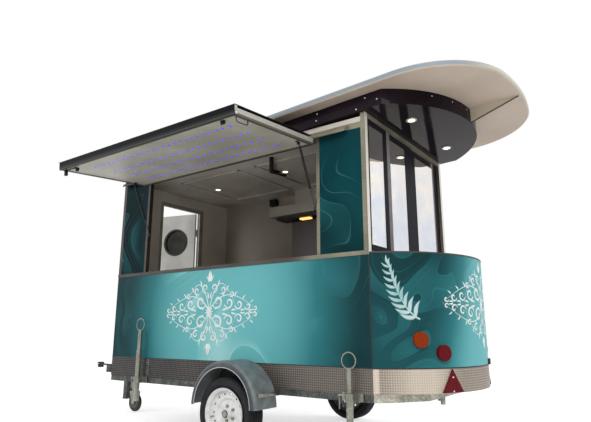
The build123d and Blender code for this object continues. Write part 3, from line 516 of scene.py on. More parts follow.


# Side and rear panels: white sandwich boards with a printed film outside. The film runs from
# dark teal at the ends to light turquoise in the middle, with soft marbled curls.
# The inner face is plain, slightly mottled white board, painted greyer on the sides as shade and paler in
# front as light.
film_deep = "0f383c"
film_mid = "2f7a80"
film_light = "6dbcc0"
film_bright = "a9dedd"
upper_tones = ("0b2f33", "11474d")
upper_painted_shade = "072327"
side_lining_painted_shade = ("9d968a", "b0a99c")
front_lining_painted_light = ("dbd4c5", "efe9dc")
lining_turn = (1.70, 1.74)
film_depth = 0.0015
film_surface = {"Roughness": 0.42, "Specular IOR Level": 0.09}
light_middle = (0.25, 1.05)
light_reach = (1.4, 0.95)


def reach_of(first, second):
    """Distance from an axis, from the two lengths across it."""
    return (first * first + second * second).math("SQRT")


def curls(place, flow_scale, turns):
    """Marbled curls: contour lines of a slow, twisted noise, as broad tints and fine lines."""
    flow = place.noise(flow_scale, 0.8, 0.9) * turns
    broad = (flow.math("SINE") * 0.5 + 0.5).rise(0.42, 0.55)
    fine = 1 - abs((flow * 2.5).math("SINE")).rise(0.0, 0.12)
    patches = place.noise(1.1, 2).rise(0.44, 0.6)
    return broad * patches, fine * patches


def lining(place):
    """The white board on the inner faces, painted greyer on the sides as shade and paler in front as light.
    """
    board = place.noise(2.2, 3).rise(0.2, 0.85)
    sides, front = [board.between(*tones) for tones in (side_lining_painted_shade, front_lining_painted_light)]
    return place.axes()[0].rise(*lining_turn).between(sides, front)


def film_tint(light, broad, fine):
    """The film's colour from its lightness and its curls."""
    stops = [(0.0, film_deep), (0.42, film_mid), (0.85, film_light), (1.0, film_bright)]
    level = light + broad * 0.16 + fine * 0.22
    return level.node("ValToRGB", {"stops": stops}, {"Fac": level})


def outer_skin(length, face):
    """1 within the film's depth of a face, and 0 further in."""
    return length.rise(face - film_depth, face - film_depth / 2)


side_film, place, inputs = new_finish("side_film", film_surface)
x, y, z = place.axes()
across = (x - light_middle[0]) / light_reach[0]
rise = (z - light_middle[1]) / light_reach[1]
middle = 1 - (across * across + rise * rise * 0.3)
broad, fine = curls(place, 0.9, 26)
colour = film_tint(middle.rise(0.02, 1.05) * 0.86, broad, fine)
outer_skin(abs(y), half_width).between(lining(place), colour).to(inputs["Base Color"])
dress(side_film, "side_lower_panels")

upper_film, place, inputs = new_finish("upper_film", {**film_surface, "Specular IOR Level": 0.03})
x, y = place.axes()[:2]
broad, fine = curls(place, 1.1, 24)
shaded = place.noise(1.5, 2).rise(0.3, 0.7).between(*upper_tones)
# Towards the front the film is painted darker as shade.
shaded = x.rise(1.1, 1.5).between(shaded, upper_painted_shade)
curled = (broad * 0.3).between(shaded, film_mid)
line = (fine * 0.3).between(curled, film_light)
outside = outer_skin(abs(y), half_width).math("MAXIMUM", outer_skin(x, front_x))
outside.between(lining(place), line).to(inputs["Base Color"])
dress(upper_film, "side_upper_panels", "front_wall")

bow_film, place, inputs = new_finish("bow_film", film_surface)
x, y = place.axes()[:2]
along, up = round_bow(place)
broad, fine = curls(place, 1.5, 30)
light = (along + up * 0.25).rise(0.72, 0.18) * 0.7 + up.rise(0.9, 0.0) * 0.12
colour = film_tint(light, broad * (1.2 - light), fine * (1.1 - light))
outside = outer_skin(reach_of(x - bow_centre, y), bow_radius)
outside.between(lining(place), colour).to(inputs["Base Color"])
dress(bow_film, "bow_wall")


# White ornament: cut vinyl scrolls and leaves on the side film and round the bar.
# A spiral tapers along a formula, the scrolls stand in a short table, and a quarter is mirrored.
# A paler branch of paired leaves stands beside the one on the bar.
vinyl_thickness = 0.0008
stroke = 0.015
scroll_table = (
    # across, up, radius, first angle in degrees, turns, stroke
    (0.088, 0.078, 0.058, 205, 1.25, 1.0),
    (0.205, 0.066, 0.048, 195, 1.2, 0.95),
    (0.305, 0.052, 0.040, 190, 1.15, 0.85),
    (0.392, 0.038, 0.031, 190, 1.1, 0.75),
    (0.462, 0.024, 0.022, 190, 1.05, 0.65),
    (0.048, 0.185, 0.040, 255, 1.2, 0.85),
    (0.140, 0.165, 0.034, 225, 1.15, 0.8),
    (0.232, 0.132, 0.026, 215, 1.1, 0.7),
)
leaf_table = (
    # across, up, direction in degrees, length
    (0.0, 0.235, 90, 0.085),
    (0.010, 0.230, 55, 0.060),
    (0.095, 0.195, 78, 0.055),
    (0.180, 0.155, 62, 0.050),
    (0.262, 0.112, 52, 0.048),
    (0.340, 0.088, 42, 0.042),
    (0.418, 0.060, 32, 0.038),
    (0.150, 0.118, 100, 0.040),
    (0.015, 0.100, 80, 0.060),
    (0.060, 0.018, 20, 0.055),
    (0.140, 0.008, 8, 0.060),
    (0.230, 0.006, 6, 0.055),
    (0.320, 0.005, 4, 0.050),
    (0.400, 0.003, 3, 0.045),
)
stem_table = (
    # reach, bow, stroke
    (0.50, 0.125, 0.75),
    (0.30, 0.215, 0.6),
)
rosette_leaves = 10
rosette_reach = 0.046
side_ornament_at = (0.42, 1.06)
side_ornament_scale = 1.15
bow_ornament_at = (-0.05, 1.10)
bow_ornament_scale = 1.05
branch_at = (0.66, 0.98)
branch_turn = 118
branch_reach = 0.44
branch_bulge = 0.05
branch_pairs = 9


def tapered_line(points, widths):
    """A line whose width changes, drawn flat as across and up."""
    places = [(across, up, 0) for across, up in points]
    return wire(places, [width / 2 for width in widths], 1, False)


def scroll(across, up, radius, first, turns, weight, steps=26):
    """A spiral that winds in from its rim and thins towards both ends."""
    points = []
    widths = []
    for step in range(steps + 1):
        share = step / steps
        angle = math.radians(first) + turns * math.tau * share
        reach = radius * (1 - 0.82 * share ** 0.8)
        points.append((across + reach * math.cos(angle), up + reach * math.sin(angle)))
        swell = math.sin(math.pi * min(1, share * 1.15 + 0.05)) ** 0.7
        widths.append(stroke * weight * (0.25 + 0.9 * swell))
    return tapered_line(points, widths)


def leaf(across, up, direction, length, steps=8):
    """A pointed leaf, widest a third of the way along."""
    angle = math.radians(direction)
    points = []
    widths = []
    for step in range(steps + 1):
        share = step / steps
        bend = 0.12 * length * math.sin(math.pi * share)
        points.append((
            across + share * length * math.cos(angle) - bend * math.sin(angle),
            up + share * length * math.sin(angle) + bend * math.cos(angle),
        ))
        widths.append(length * 0.27 * math.sin(math.pi * share ** 0.7) + 0.0004)
    return tapered_line(points, widths)


def stem_height(share, bulge):
    """How far a bowed stem stands off its chord, at a share of its reach."""
    return bulge * math.sin(math.pi * share ** 0.75)


def stem(reach, bulge, weight, steps=24):
    """A bowed stem from its root out to a tip."""
    shares = [step / steps for step in range(steps + 1)]
    points = [(share * reach, stem_height(share, bulge)) for share in shares]
    return tapered_line(points, [stroke * weight * (1.05 - share) for share in shares])


def ornament():
    """The whole flat ornament round its middle: one quarter, mirrored across and then up."""
    lines = [scroll(*row) for row in scroll_table]
    lines += [leaf(*row) for row in leaf_table]
    lines += [stem(*row) for row in stem_table]
    quarter = joined(lines)
    quarters = [quarter]
    for mirror in ((-1, 1), (1, -1), (-1, -1)):
        quarters.append(copied(quarter, Matrix.Diagonal((*mirror, 1, 1))))
    for index in range(rosette_leaves):
        quarters.append(leaf(0, 0, index * 360 / rosette_leaves, rosette_reach))
    return joined(quarters)


def lifted(out):
    """How far a point of a flat drawing stands off the film."""
    return min(1, max(-1, out / stroke * 2)) * vinyl_thickness


def on_side(piece, x, z, side, scale):
    """Lays a flat drawing on a side panel."""
    for vertex in piece.data.vertices:
        across, up, out = vertex.co
        vertex.co = (x - side * across * scale, side * (half_width + lifted(out)), z + up * scale)
    return faced_out(piece)


def on_bow(piece, along, z, scale):
    """Lays a flat drawing round the bar."""
    for vertex in piece.data.vertices:
        across, up, out = vertex.co
        angle = (along - across * scale) / bow_radius
        reach = bow_radius + lifted(out)
        vertex.co = (bow_centre - reach * math.cos(angle), reach * math.sin(angle), z + up * scale)
    return faced_out(piece)


vinyl_pebble = (80, 2, 0.0001, 0.3)
vinyl = mottled("cut_vinyl", {"Roughness": 0.35}, ("d8e6e4", "f2f7f5"), (6, 3), vinyl_pebble, (0.2, 0.8))
pale_vinyl = mottled(
    "tinted_vinyl", {"Roughness": 0.35}, ("8fbdbd", "c6e2e0"), (4, 3), vinyl_pebble, (0.2, 0.8)
)

flat_ornament = ornament()
for name, side in (("left", 1), ("right", -1)):
    laid = on_side(copied(flat_ornament, Matrix()), *side_ornament_at, side, side_ornament_scale)
    fit(laid, "side_ornament_" + name, vinyl, "trailer")
laid = on_bow(flat_ornament, *bow_ornament_at, bow_ornament_scale)
fit(laid, "bow_ornament", vinyl, "trailer")

spray = [stem(branch_reach, branch_bulge, 0.9)]
for index in range(branch_pairs):
    share = index / branch_pairs + 0.06
    spot = (share * branch_reach, stem_height(share, branch_bulge))
    length = 0.125 - 0.06 * share
    spray.append(leaf(*spot, 52 - 20 * share, length, 12))
    spray.append(leaf(*spot, -46 + 20 * share, length, 12))
spray.append(leaf(branch_reach - 0.01, 0.0, -10, 0.08, 12))
branch = joined(spray)
branch.data.transform(Matrix.Rotation(math.radians(branch_turn), 4, "Z"))
fit(on_bow(branch, *branch_at, 1.0), "bow_leaf_branch", pale_vinyl, "trailer")


# Profiles: sill bars, posts, header, rear bars and gutter, of extruded aluminium with its die
# lines, left bare and slightly yellowed. Ahead of the rear jamb they are painted dull brown as
# shade, the rear bars' edges carry a painted highlight, and the frame of the door is painted
# paler as light. All are screwed together.
shade_from, shade_to = -0.74, -0.45
highlight_edge = (0.752, 0.757)
highlight_edge_x = (-1.1, -1.17)

profile, place, inputs = new_finish("bare_profile", {"Metallic": 0.35, "Specular IOR Level": 0.3})
x, y = place.axes()[:2]
lines = place.stretched((2, 2, 150)).noise(1.5, 3)
level = (place.noise(4, 3) * 0.7 + lines * 0.3).rise(0.3, 0.8)
# Near the rear the profiles keep their yellowed grey; further forward they are painted dark brown as shade.
near = level.between("6c685a", "98927f")
far = level.between("35312e", "4e4843")
toned = x.rise(shade_from, shade_to).between(near, far)
# Painted highlight on the rear-facing edges of the rear bars.
facing_back = place.node("TexCoord", {}, {}, "Normal").axes()[0].rise(-0.6, -0.9)
rear_edge_highlight = facing_back * abs(y).rise(*highlight_edge) * x.rise(*highlight_edge_x)
rear_edge_highlight.between(toned, "e2dfd6").to(inputs["Base Color"])
(0.55 - lines * 0.16).to(inputs["Roughness"])
lines.bump(0.0003, 0.4).to(inputs["Normal"])
dress(profile, "sill_bars", "body_posts", "opening_header", "rear_bars", "hinge_profile")

# The door frame's aluminium is painted paler as light, against the shade in the doorway.
pale_profile_painted_light, place, inputs = new_finish("pale_profile_painted_light", {"Metallic": 0.2, "Specular IOR Level": 0.3})
lines = place.stretched((150, 150, 2)).noise(1.5, 3)
level = (place.noise(4, 3) * 0.6 + lines * 0.4).rise(0.3, 0.8)
level.between("9a958a", "bcb7ab").to(inputs["Base Color"])
(0.5 - lines * 0.16).to(inputs["Roughness"])
lines.bump(0.0003, 0.4).to(inputs["Normal"])
dress(pale_profile_painted_light, "door_frame")


# Inside: ceiling board with batten frames, a bent black bracket for a rail, and the plain
# counter. Battens are thin white strips, screwed on in two rectangles.
batten_width, batten_depth = 0.028, 0.012
batten_frames = (
    # rear end, front end, right edge, left edge
    (-0.62, 0.25, -0.48, 0.42),
    (0.45, 1.30, -0.48, 0.42),
)
rail_points = ((-0.058, 0.533), (0.184, 0.229), (0.145, 0.043))
rail_width = 0.04
rail_height = 0.035

ceiling_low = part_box("ceiling_panel")[0].z
ceiling_white = mottled(
    "ceiling_board", {"Roughness": 0.55}, ("b3aba0", "d3ccc0"), (3, 4), (120, 2, 0.0003, 0.3), (0.25, 0.8)
)
dress(ceiling_white, "ceiling_panel")

battens = []
for x0, x1, y0, y1 in batten_frames:
    strips = (
        (x0, y0, x1, y0 + batten_width),
        (x0, y1 - batten_width, x1, y1),
        (x0, y0, x0 + batten_width, y1),
        (x1 - batten_width, y0, x1, y1),
    )
    for left, near, right, far in strips:
        low, high = (left, near, ceiling_low - batten_depth), (right, far, ceiling_low + 0.001)
        battens.append(bar(low, high, 0.002))
fit(joined(battens), "ceiling_battens", ceiling_white, "trailer")

satin_surface = {"Roughness": 0.42, "Specular IOR Level": 0.2}
satin_black = mottled(
    "satin_black", satin_surface, ("0d0e10", "1f2023"), (30, 4), (160, 2, 0.0002, 0.4), (0.2, 0.8)
)

runs = []
for (x0, y0), (x1, y1) in zip(rail_points, rail_points[1:]):
    length = math.hypot(x1 - x0, y1 - y0)
    run = bar((0, -rail_width / 2, -rail_height), (length, rail_width / 2, 0.0), 0.003)
    turn = math.atan2(y1 - y0, x1 - x0)
    run.data.transform(Matrix.Translation((x0, y0, ceiling_low)) @ Matrix.Rotation(turn, 4, "Z"))
    runs.append(run)
fit(joined(runs), "ceiling_rail", satin_black, "trailer")

counter_board = mottled(
    "counter_board", {"Roughness": 0.35}, ("5f564d", "7b7065"), (6, 4), (60, 2, 0.0002, 0.3), (0.2, 0.8)
)
dress(counter_board, "bar_counter")


# Counter edge: a thin brown strip round the top of the bar, a little proud of the film.
# It is plastic edging, glued over the board's upper end.
counter_edge = (-0.010, 0.001)
counter_edge_gauge = 0.002
strip_pebble = (90, 2, 0.0002, 0.4)

bow_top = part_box("bow_wall")[1].z
low, high = [bow_top + height for height in counter_edge]
edge_strip = bow_band(low, high, counter_edge_gauge, (-bow_end, bow_end))
brown_strip = mottled("brown_strip", {"Roughness": 0.45}, ("2a2220", "453a34"), (20, 3), strip_pebble)
fit(edge_strip, "counter_edge_strip", brown_strip, "trailer")


# Glazed wall: three black sliding sashes with reflecting panes; two of their stiles carry a
# painted grey sheen, a painted reflection.
# The glass is clear with a strong mirror coat, whose tint is a painted reflection of the sky:
# faint blue below, cream above and soft clouds.
pane_coat = 0.85
clear_tint = (0.86, 0.9, 0.9, 1)
clear_glass = {"Transmission Weight": 1.0, "Roughness": 0.02, "IOR": 1.2, "Base Color": clear_tint}
sheen_folds = 260
sheen_places = (0.384, -0.63)
sheen_edges = ((0.044, 0.040), (0.03, 0.026))

sash, place, inputs = new_finish("sash_enamel", {"Roughness": 0.4, "Specular IOR Level": 0.03})
y = place.axes()[1]
# Painted sheen: grey stripes on two stiles stand in for their reflections.
sheen_ripple = (y * sheen_folds).math("SINE") * 0.25 + 0.7
painted_sheen = place.noise(12, 3).between("7d7a79", "a5a2a0")
left_sheen, right_sheen = [abs(y - at).rise(*edge) for at, edge in zip(sheen_places, sheen_edges)]
sheen_mask = left_sheen.math("MAXIMUM", right_sheen) * sheen_ripple
enamel = place.noise(20, 3).between("17151a", "262329")
sheen_mask.between(enamel, painted_sheen).to(inputs["Base Color"])
place.noise(160, 2).bump(0.0002, 0.4).to(inputs["Normal"])
dress(sash, "glazing_sashes")

glass, place, inputs = new_finish("coated_glass", {"Metallic": 1.0, "Roughness": 0.03})
z = place.axes()[2]
# Painted reflection of the sky: soft clouds, and a tint from bluer low down to creamier higher up.
clouds = place.stretched((1, 1, 1.6)).noise(3.5, 3)
tint = (z.rise(1.4, 2.4) * 0.35 + clouds * 0.9).rise(0.3, 0.95)
tint.between("dfe6f2", "fdf6ee").to(inputs["Base Color"])
tree = glass.node_tree
through = tree.nodes.new("ShaderNodeBsdfPrincipled")
for socket, value in clear_glass.items():
    through.inputs[socket].default_value = value
coat = tree.nodes.new("ShaderNodeMixShader")
coat.inputs[0].default_value = pane_coat
tree.links.new(through.outputs[0], coat.inputs[1])
tree.links.new(tree.nodes["Principled BSDF"].outputs[0], coat.inputs[2])
tree.links.new(coat.outputs[0], tree.nodes["Material Output"].inputs["Surface"])
dress(glass, "glazing_panes")


# Canopy: a box of near-black, polished plastic sheet under the roof, fixed with small bright
# screws along its boards. It mirrors the windows and its own lamps.
screw_radius = 0.006
screw_proud = 0.0025
side_screws = (
    # along from the rear of the body, below the top edge
    (-0.02, 0.030), (0.06, 0.100), (0.42, 0.028), (0.43, 0.085), (0.80, 0.028), (0.81, 0.085),
    (1.20, 0.028), (1.21, 0.085), (1.65, 0.028), (1.66, 0.085), (2.10, 0.03), (2.55, 0.03), (-0.12, 0.07),
)
rear_screw_angles = (-0.62, -0.40, -0.18, 0.08, 0.30, 0.52)
rear_screw_drop = 0.03
roof_slope = 0.05
canopy_top_rear = 2.676

gloss_surface = {"Roughness": 0.07, "Specular IOR Level": 0.06}
gloss_black = mottled(
    "polished_black", gloss_surface, ("191318", "2a2128"), (3, 3), (5, 2, 0.002, 0.12), (0.2, 0.8)
)
dress(gloss_black, "canopy_core", "fascia_sides", "fascia_rear")

fascia_low, fascia_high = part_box("fascia_sides")
canopy_half = fascia_high.y
canopy_bulge = fascia_low.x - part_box("fascia_rear")[0].x
canopy_radius = (canopy_half ** 2 + canopy_bulge ** 2) / (2 * canopy_bulge)
canopy_centre = fascia_low.x - canopy_bulge + canopy_radius


def canopy_top(x):
    """Height of the canopy's top plane at a place along the trailer."""
    return canopy_top_rear - roof_slope * (x - rear_x)


def screw():
    """A small domed screw head, its axis along Z and its seat at 0."""
    bpy.ops.mesh.primitive_uv_sphere_add(segments=12, ring_count=8, radius=screw_radius)
    piece = bpy.context.object
    piece.scale = (1, 1, screw_proud / screw_radius)
    bpy.ops.object.transform_apply(location=True, rotation=True, scale=True)
    with edit_mode():
        bpy.ops.mesh.bisect(plane_co=(0, 0, 0), plane_no=(0, 0, 1), clear_inner=True, use_fill=True)
    return smooth(piece, 60)


def aimed(place, direction):
    """The matrix that stands Z along a direction at a place."""
    return Matrix.Translation(place) @ Vector(direction).to_track_quat("Z", "Y").to_matrix().to_4x4()


bright_steel, place, inputs = new_finish("bright_steel", {"Metallic": 1.0})
place.noise(50, 3).between("b9bcc0", "e6e8ea").to(inputs["Base Color"])
(place.noise(90, 2) * 0.2 + 0.18).to(inputs["Roughness"])

head = screw()
heads = []
for side in (1, -1):
    for back, below in side_screws:
        x = rear_x + back
        heads.append(copied(head, aimed((x, side * canopy_half, canopy_top(x) - below), (0, side, 0))))
for angle in rear_screw_angles:
    out = Vector((-math.cos(angle), math.sin(angle), 0))
    spot = Vector((canopy_centre, 0, 0)) + out * canopy_radius
    spot.z = canopy_top(spot.x) - rear_screw_drop
    heads.append(copied(head, aimed(spot, out)))
fit(joined(heads), "canopy_screws", bright_steel, "trailer")


# Lights: white plastic rings let into the ceiling and the canopy, each with a warm lit lens.
# The lenses are flat discs, pressed into the rings from below.
lens_radius = 0.025
lens_proud, lens_sunk = 0.0015, 0.002
lens_edge = 0.0006
ring_depth = 0.008
canopy_depth = 0.123
ceiling_lights = ((0.107, 0.10), (1.146, 0.0))
canopy_light_x = rear_x - 0.214
canopy_light_half = 0.4


def glowing(name, strength, tones, glow_tones):
    """A lit finish, faintly clouded in its colour and its light."""
    material, place, inputs = new_finish(name, {"Roughness": 0.3, "Emission Strength": strength})
    for socket, pair in (("Base Color", tones), ("Emission Color", glow_tones)):
        place.noise(30, 2).between(*pair).to(inputs[socket])
    return material


ring_white = mottled("light_ring", {"Roughness": 0.3}, ("c9c4b8", "e9e6dd"), (30, 2), (100, 2, 0.0001, 0.3))
dress(ring_white, "downlights")

canopy_light_z = canopy_top(canopy_light_x) - canopy_depth
light_spots = [(*spot, ceiling_low) for spot in ceiling_lights]
light_spots += [(canopy_light_x, side * canopy_light_half, canopy_light_z) for side in (1, -1)]
lenses = []
for x, y, z in light_spots:
    low = z - ring_depth
    lenses.append(rod((x, y, low - lens_proud), (x, y, low + lens_sunk), lens_radius, lens_edge))
lit_lens = glowing("lit_lens", 4.0, ("fff3d8", "fffbee"), ("ffedc4", "fff8e6"))
fit(joined(lenses), "lit_lenses", lit_lens, "trailer")


# Roof: a thick white sandwich board with a grey-blue banded rim, matt and a little dusty.
# Its underside is the same white board, painted warmer and greyer as shade and light bounced
# from below. A board under its tail stiffens it, with a brown strip along the lower edge.
roof_white = "e2dcd2"
roof_dust = "cbc2b5"
warm_painted_shade = "dac8b7"
warm_painted_shade_dusty = "c8b5a2"
rim_white = "c9c4b8"
rim_blue = "8d99a3"
stripe_middle = 0.024
gusset_edge_width, gusset_edge_depth = 0.011, 0.009
gusset_edge_drop = 0.004

roof, place, inputs = new_finish("roof_board", {"Roughness": 0.5})
x, y, z = place.axes()
normal_y, normal_z = place.node("TexCoord", {}, {}, "Normal").axes()[1:]
dust = place.noise(1.6, 5).rise(0.3, 0.8)
top_colour = dust.between(roof_white, roof_dust)
# The underside is painted warmer and greyer as shade and as light bounced from below.
underside_painted_shade = dust.between(warm_painted_shade, warm_painted_shade_dusty)
board_colour = normal_z.rise(-0.3, 0.3).between(underside_painted_shade, top_colour)
height = z + x * roof_slope - (canopy_top_rear + rear_x * roof_slope)
stripe = abs(height - stripe_middle).rise(0.017, 0.014) * abs(normal_y).rise(0.35, 0.85)
rim_colour = stripe.between(rim_white, rim_blue)
abs(normal_z).rise(0.80, 0.6).between(board_colour, rim_colour).to(inputs["Base Color"])
place.noise(40, 3).bump(0.0004, 0.3).to(inputs["Normal"])
dress(roof, "roof_panel")

gusset_board = mottled(
    "gusset_board", {"Roughness": 0.5}, ("cfc4ae", "e4d9c6"), (3, 4), (60, 3, 0.0003, 0.3), (0.3, 0.8)
)
dress(gusset_board, "roof_gusset")

gusset_low, gusset_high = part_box("roof_gusset")
edge_start = Vector((gusset_high.x, 0, gusset_low.z))
edge_end = Vector((gusset_low.x, 0, canopy_top(gusset_low.x) - gusset_edge_drop))
edge_half = Vector((0, gusset_edge_width / 2, gusset_edge_depth / 2))
edge_run = bar(-edge_half, edge_half + Vector(((edge_end - edge_start).length, 0, 0)), 0.002)
edge_turn = math.atan2(edge_end.z - edge_start.z, edge_start.x - edge_end.x)
edge_run.data.transform(
    Matrix.Translation(edge_start) @ Matrix.Rotation(math.pi, 4, "Z") @ Matrix.Rotation(-edge_turn, 4, "Y")
)
edge_brown = mottled("gusset_edge", {"Roughness": 0.5}, ("3a2c26", "54443a"), (20, 3), strip_pebble)
fit(edge_run, "gusset_edge_strip", edge_brown, "trailer")


# Kitchen fittings on the far wall: a steel hood with dark shelves and a warm lamp under it,
# a socket box beside it, and a tall cupboard with dark brown doors.
hood_painted_shade = (2.195, 2.185)
wall_face = -0.755
# Each box's spans run along the trailer, across and up. Those of the lamp and the shelf go up
# from the hood's lower face, the shelf's go along from the hood's rear end, and those of the
# socket box and its lid go across from the wall.
lamp_box = ((0.29, 0.43), (-0.66, -0.60), (-0.016, 0.002))
shelf_box = ((0.01, 0.46), (-0.72, -0.69), (-0.045, 0.002))
socket_box = ((0.85, 0.955), (-0.001, 0.055), (2.385, 2.47))
socket_lid = ((0.862, 0.943), (0.053, 0.060), (2.397, 2.458))

brushed, place, inputs = new_finish("brushed_hood", {"Metallic": 0.2, "Roughness": 0.45})
z = place.axes()[2]
sheen = place.stretched((1, 1, 60)).noise(4, 3)
pale = sheen.between("a39b8f", "c5bdb0")
# Below its lower edge the hood's steel is painted dark as shade.
z.rise(*hood_painted_shade).between(pale, "241f1c").to(inputs["Base Color"])
sheen.bump(0.0002, 0.4).to(inputs["Normal"])
dress(brushed, "interior_hood")

cupboard, place, inputs = new_finish("brown_laminate", {"Roughness": 0.4})
grain = place.stretched((14, 14, 1.2)).noise(4, 5)
grain.between("2c1e1a", "4a342d").to(inputs["Base Color"])
grain.bump(0.0003, 0.4).to(inputs["Normal"])
dress(cupboard, "tall_cupboard")


def boxed(spans, edge, origin=(0, 0, 0)):
    """A rounded block from its span along each axis, measured from a point."""
    low, high = zip(*spans)
    return bar(Vector(low) + Vector(origin), Vector(high) + Vector(origin), edge)


hood_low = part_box("interior_hood")[0]
warm_lamp = glowing("warm_lamp", 2.2, ("ffb566", "ffd9a0"), ("ff9c3c", "ffc27a"))
fit(boxed(lamp_box, 0.006, (0, 0, hood_low.z)), "hood_lamp", warm_lamp, "trailer")
under_shelf = boxed(shelf_box, 0.003, (hood_low.x, 0, hood_low.z))
fit(under_shelf, "hood_under_shelf", satin_black, "trailer")
box_and_lid = [boxed(socket_box, 0.006, (0, wall_face, 0)), boxed(socket_lid, 0.002, (0, wall_face, 0))]
fit(joined(box_and_lid), "wall_socket_box", satin_black, "trailer")


# Serving hatch: an aluminium frame round a white board, hung on a long gutter hinge, with a
# rubber seal and a thin black sheet. Small blue lights, two catches, a hook, a wire pull and an
# end cap are fixed to it. Places are along the trailer, out and up from the hinge, as if level.
hatch_tilt = math.radians(4)
hatch_axis = (0, 0.855, 2.405)
hatch_reach = 0.937
hatch_under = -0.046
light_rows = (0.188, 0.384, 0.571, 0.767)
light_ends = (-0.545, 1.06)
light_count = 26
light_radius = 0.0085
light_half = 0.0015
light_edge = 0.0005
light_drop = 0.001
catch_places = ((-0.592, 0.885), (1.191, 0.86))
hook_inset = 0.030
pull_inset = 0.024
pull_radius = 0.0035
pull_bend = (
    # out and up
    (0.775, -0.05), (0.777, -0.076), (0.787, -0.085), (0.882, -0.085), (0.892, -0.076), (0.895, -0.05),
)

hatch_low, hatch_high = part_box("hatch_frame")
hatch_place = Matrix.Translation(hatch_axis) @ Matrix.Rotation(-hatch_tilt, 4, "X")

hatch_alloy, place, inputs = new_finish("hatch_alloy", {"Roughness": 0.5, "Specular IOR Level": 0.04})
y, z = place.axes()[1:]
out, over = y - hatch_axis[1], z - hatch_axis[2]
along_hatch = out * math.cos(hatch_tilt) - over * math.sin(hatch_tilt)
height = out * math.sin(hatch_tilt) + over * math.cos(hatch_tilt)
lines = place.stretched((1, 40, 150)).noise(2, 3)
pale = lines.between("a29d92", "d6d2c8")
step = height.rise(-0.034, -0.036).between(pale, "6f6b62")
outer = along_hatch.rise(hatch_reach - 0.006, hatch_reach - 0.003)
middle = height.rise(-0.030, -0.012).between("2f3231", "121416")
dark = height.rise(-0.036, -0.040).between(middle, "4a4b47")
outer.between(step, dark).to(inputs["Base Color"])
(0.4 - outer * 0.4).to(inputs["Metallic"])
lines.bump(0.0004, 0.5).to(inputs["Normal"])
dress(hatch_alloy, "hatch_frame")

board_surface = {"Roughness": 0.4, "Specular IOR Level": 0.4}
hatch_board = mottled(
    "hatch_board", board_surface, ("b5ac9d", "dbd3c5"), (2, 4), (60, 2, 0.0002, 0.3), (0.25, 0.8)
)
dress(hatch_board, "hatch_panel")
dress(satin_black, "hatch_brackets")


def on_hatch(pieces, name, material):
    """Joins pieces made as if the hatch lay level at the origin, tilts them and fits them."""
    piece = joined(pieces)
    piece.data.transform(hatch_place)
    fit(piece, name, material, "hatch")


dot = rod((0, 0, -light_half), (0, 0, light_half), light_radius, light_edge, 12)
light_pitch = (light_ends[1] - light_ends[0]) / (light_count - 1)
dots = []
for u in light_rows:
    for index in range(light_count):
        spot = (light_ends[0] + light_pitch * index, u, hatch_under - light_drop)
        dots.append(copied(dot, Matrix.Translation(spot)))
bpy.data.objects.remove(dot)
blue_light = glowing("blue_light", 2.0, ("2018c8", "3a34e6"), ("1208d8", "2218f4"))
on_hatch(dots, "hatch_blue_lights", blue_light)

low_x, high_x = hatch_low.x, hatch_high.x
sheet = boxed(((low_x - 0.004, high_x + 0.022), (0.03, hatch_reach - 0.001), (0.0185, 0.0215)), 0.001)
sheet_rim = boxed(((low_x, high_x), (hatch_reach - 0.034, hatch_reach - 0.030), (0.0, 0.019)), 0.001)
on_hatch([sheet, sheet_rim], "hatch_top_sheet", satin_black)

seal_x = (low_x + 0.002, high_x - 0.002)
outer_seal = boxed((seal_x, (hatch_reach - 0.012, hatch_reach - 0.004), (-0.0535, -0.0495)), 0.0015)
root_seal = boxed((seal_x, (0.012, 0.018), (-0.056, -0.0495)), 0.002)
on_hatch([outer_seal, root_seal], "hatch_seal", seal_black)

catches = []
for x, u in catch_places:
    foot = ((x - 0.016, x + 0.016), (u - 0.012, u + 0.012), (hatch_under - 0.016, hatch_under))
    pin_z = hatch_under - 0.022
    catches += [boxed(foot, 0.004), rod((x - 0.020, u, pin_z), (x + 0.018, u, pin_z), 0.007, 0.002, 16)]
hook_x = high_x - hook_inset
hook_out = ((hatch_reach - 0.06, hatch_reach - 0.035), (hatch_reach - 0.056, hatch_reach - 0.040))
catches.append(boxed(((hook_x - 0.012, hook_x + 0.012), hook_out[0], (-0.098, -0.05)), 0.003))
catches.append(boxed(((hook_x - 0.16, hook_x), hook_out[1], (-0.056, -0.05)), 0.002))
on_hatch(catches, "hatch_catches", satin_black)

pull = wire([(low_x + pull_inset, *bend) for bend in pull_bend], [pull_radius] * len(pull_bend), 2, True)
smooth(pull, 60)
on_hatch([pull], "hatch_wire_pull", satin_black)

cap_at = (hatch_reach - 0.018, -0.034)
washer = rod((low_x - 0.001, *cap_at), (low_x + 0.002, *cap_at), 0.0155, 0.0005)
on_hatch([washer], "hatch_cap_washer", satin_black)
cap = rod((low_x - 0.003, *cap_at), (low_x + 0.001, *cap_at), 0.012, 0.001)
on_hatch([cap], "hatch_end_cap", ring_white)


# Gas struts: black painted tubes with polished rods and pressed eyes. Each is pinned to a
# bracket on the hatch, and reaches a stud on the jamb.
polished, place, inputs = new_finish("polished_rod", {"Metallic": 1.0})
place.noise(40, 3).between("2b2c2e", "4c4e50").to(inputs["Base Color"])
(place.noise(70, 2) * 0.12 + 0.2).to(inputs["Roughness"])
dress(satin_black, "strut_cylinder_rear", "strut_cylinder_front")
dress(polished, "strut_rod_rear", "strut_rod_front")


# Door: a pale grey board leaf with a round window in a black rubber ring and a lever handle.
# It hangs half open in the front wall, so its inner face shows through the hatch.
door_board = mottled(
    "door_board", {"Roughness": 0.4}, ("b9b7af", "dedcd5"), (3, 4), (70, 2, 0.0002, 0.3), (0.25, 0.8)
)
dress(door_board, "door_leaf")
dress(satin_black, "door_fittings")

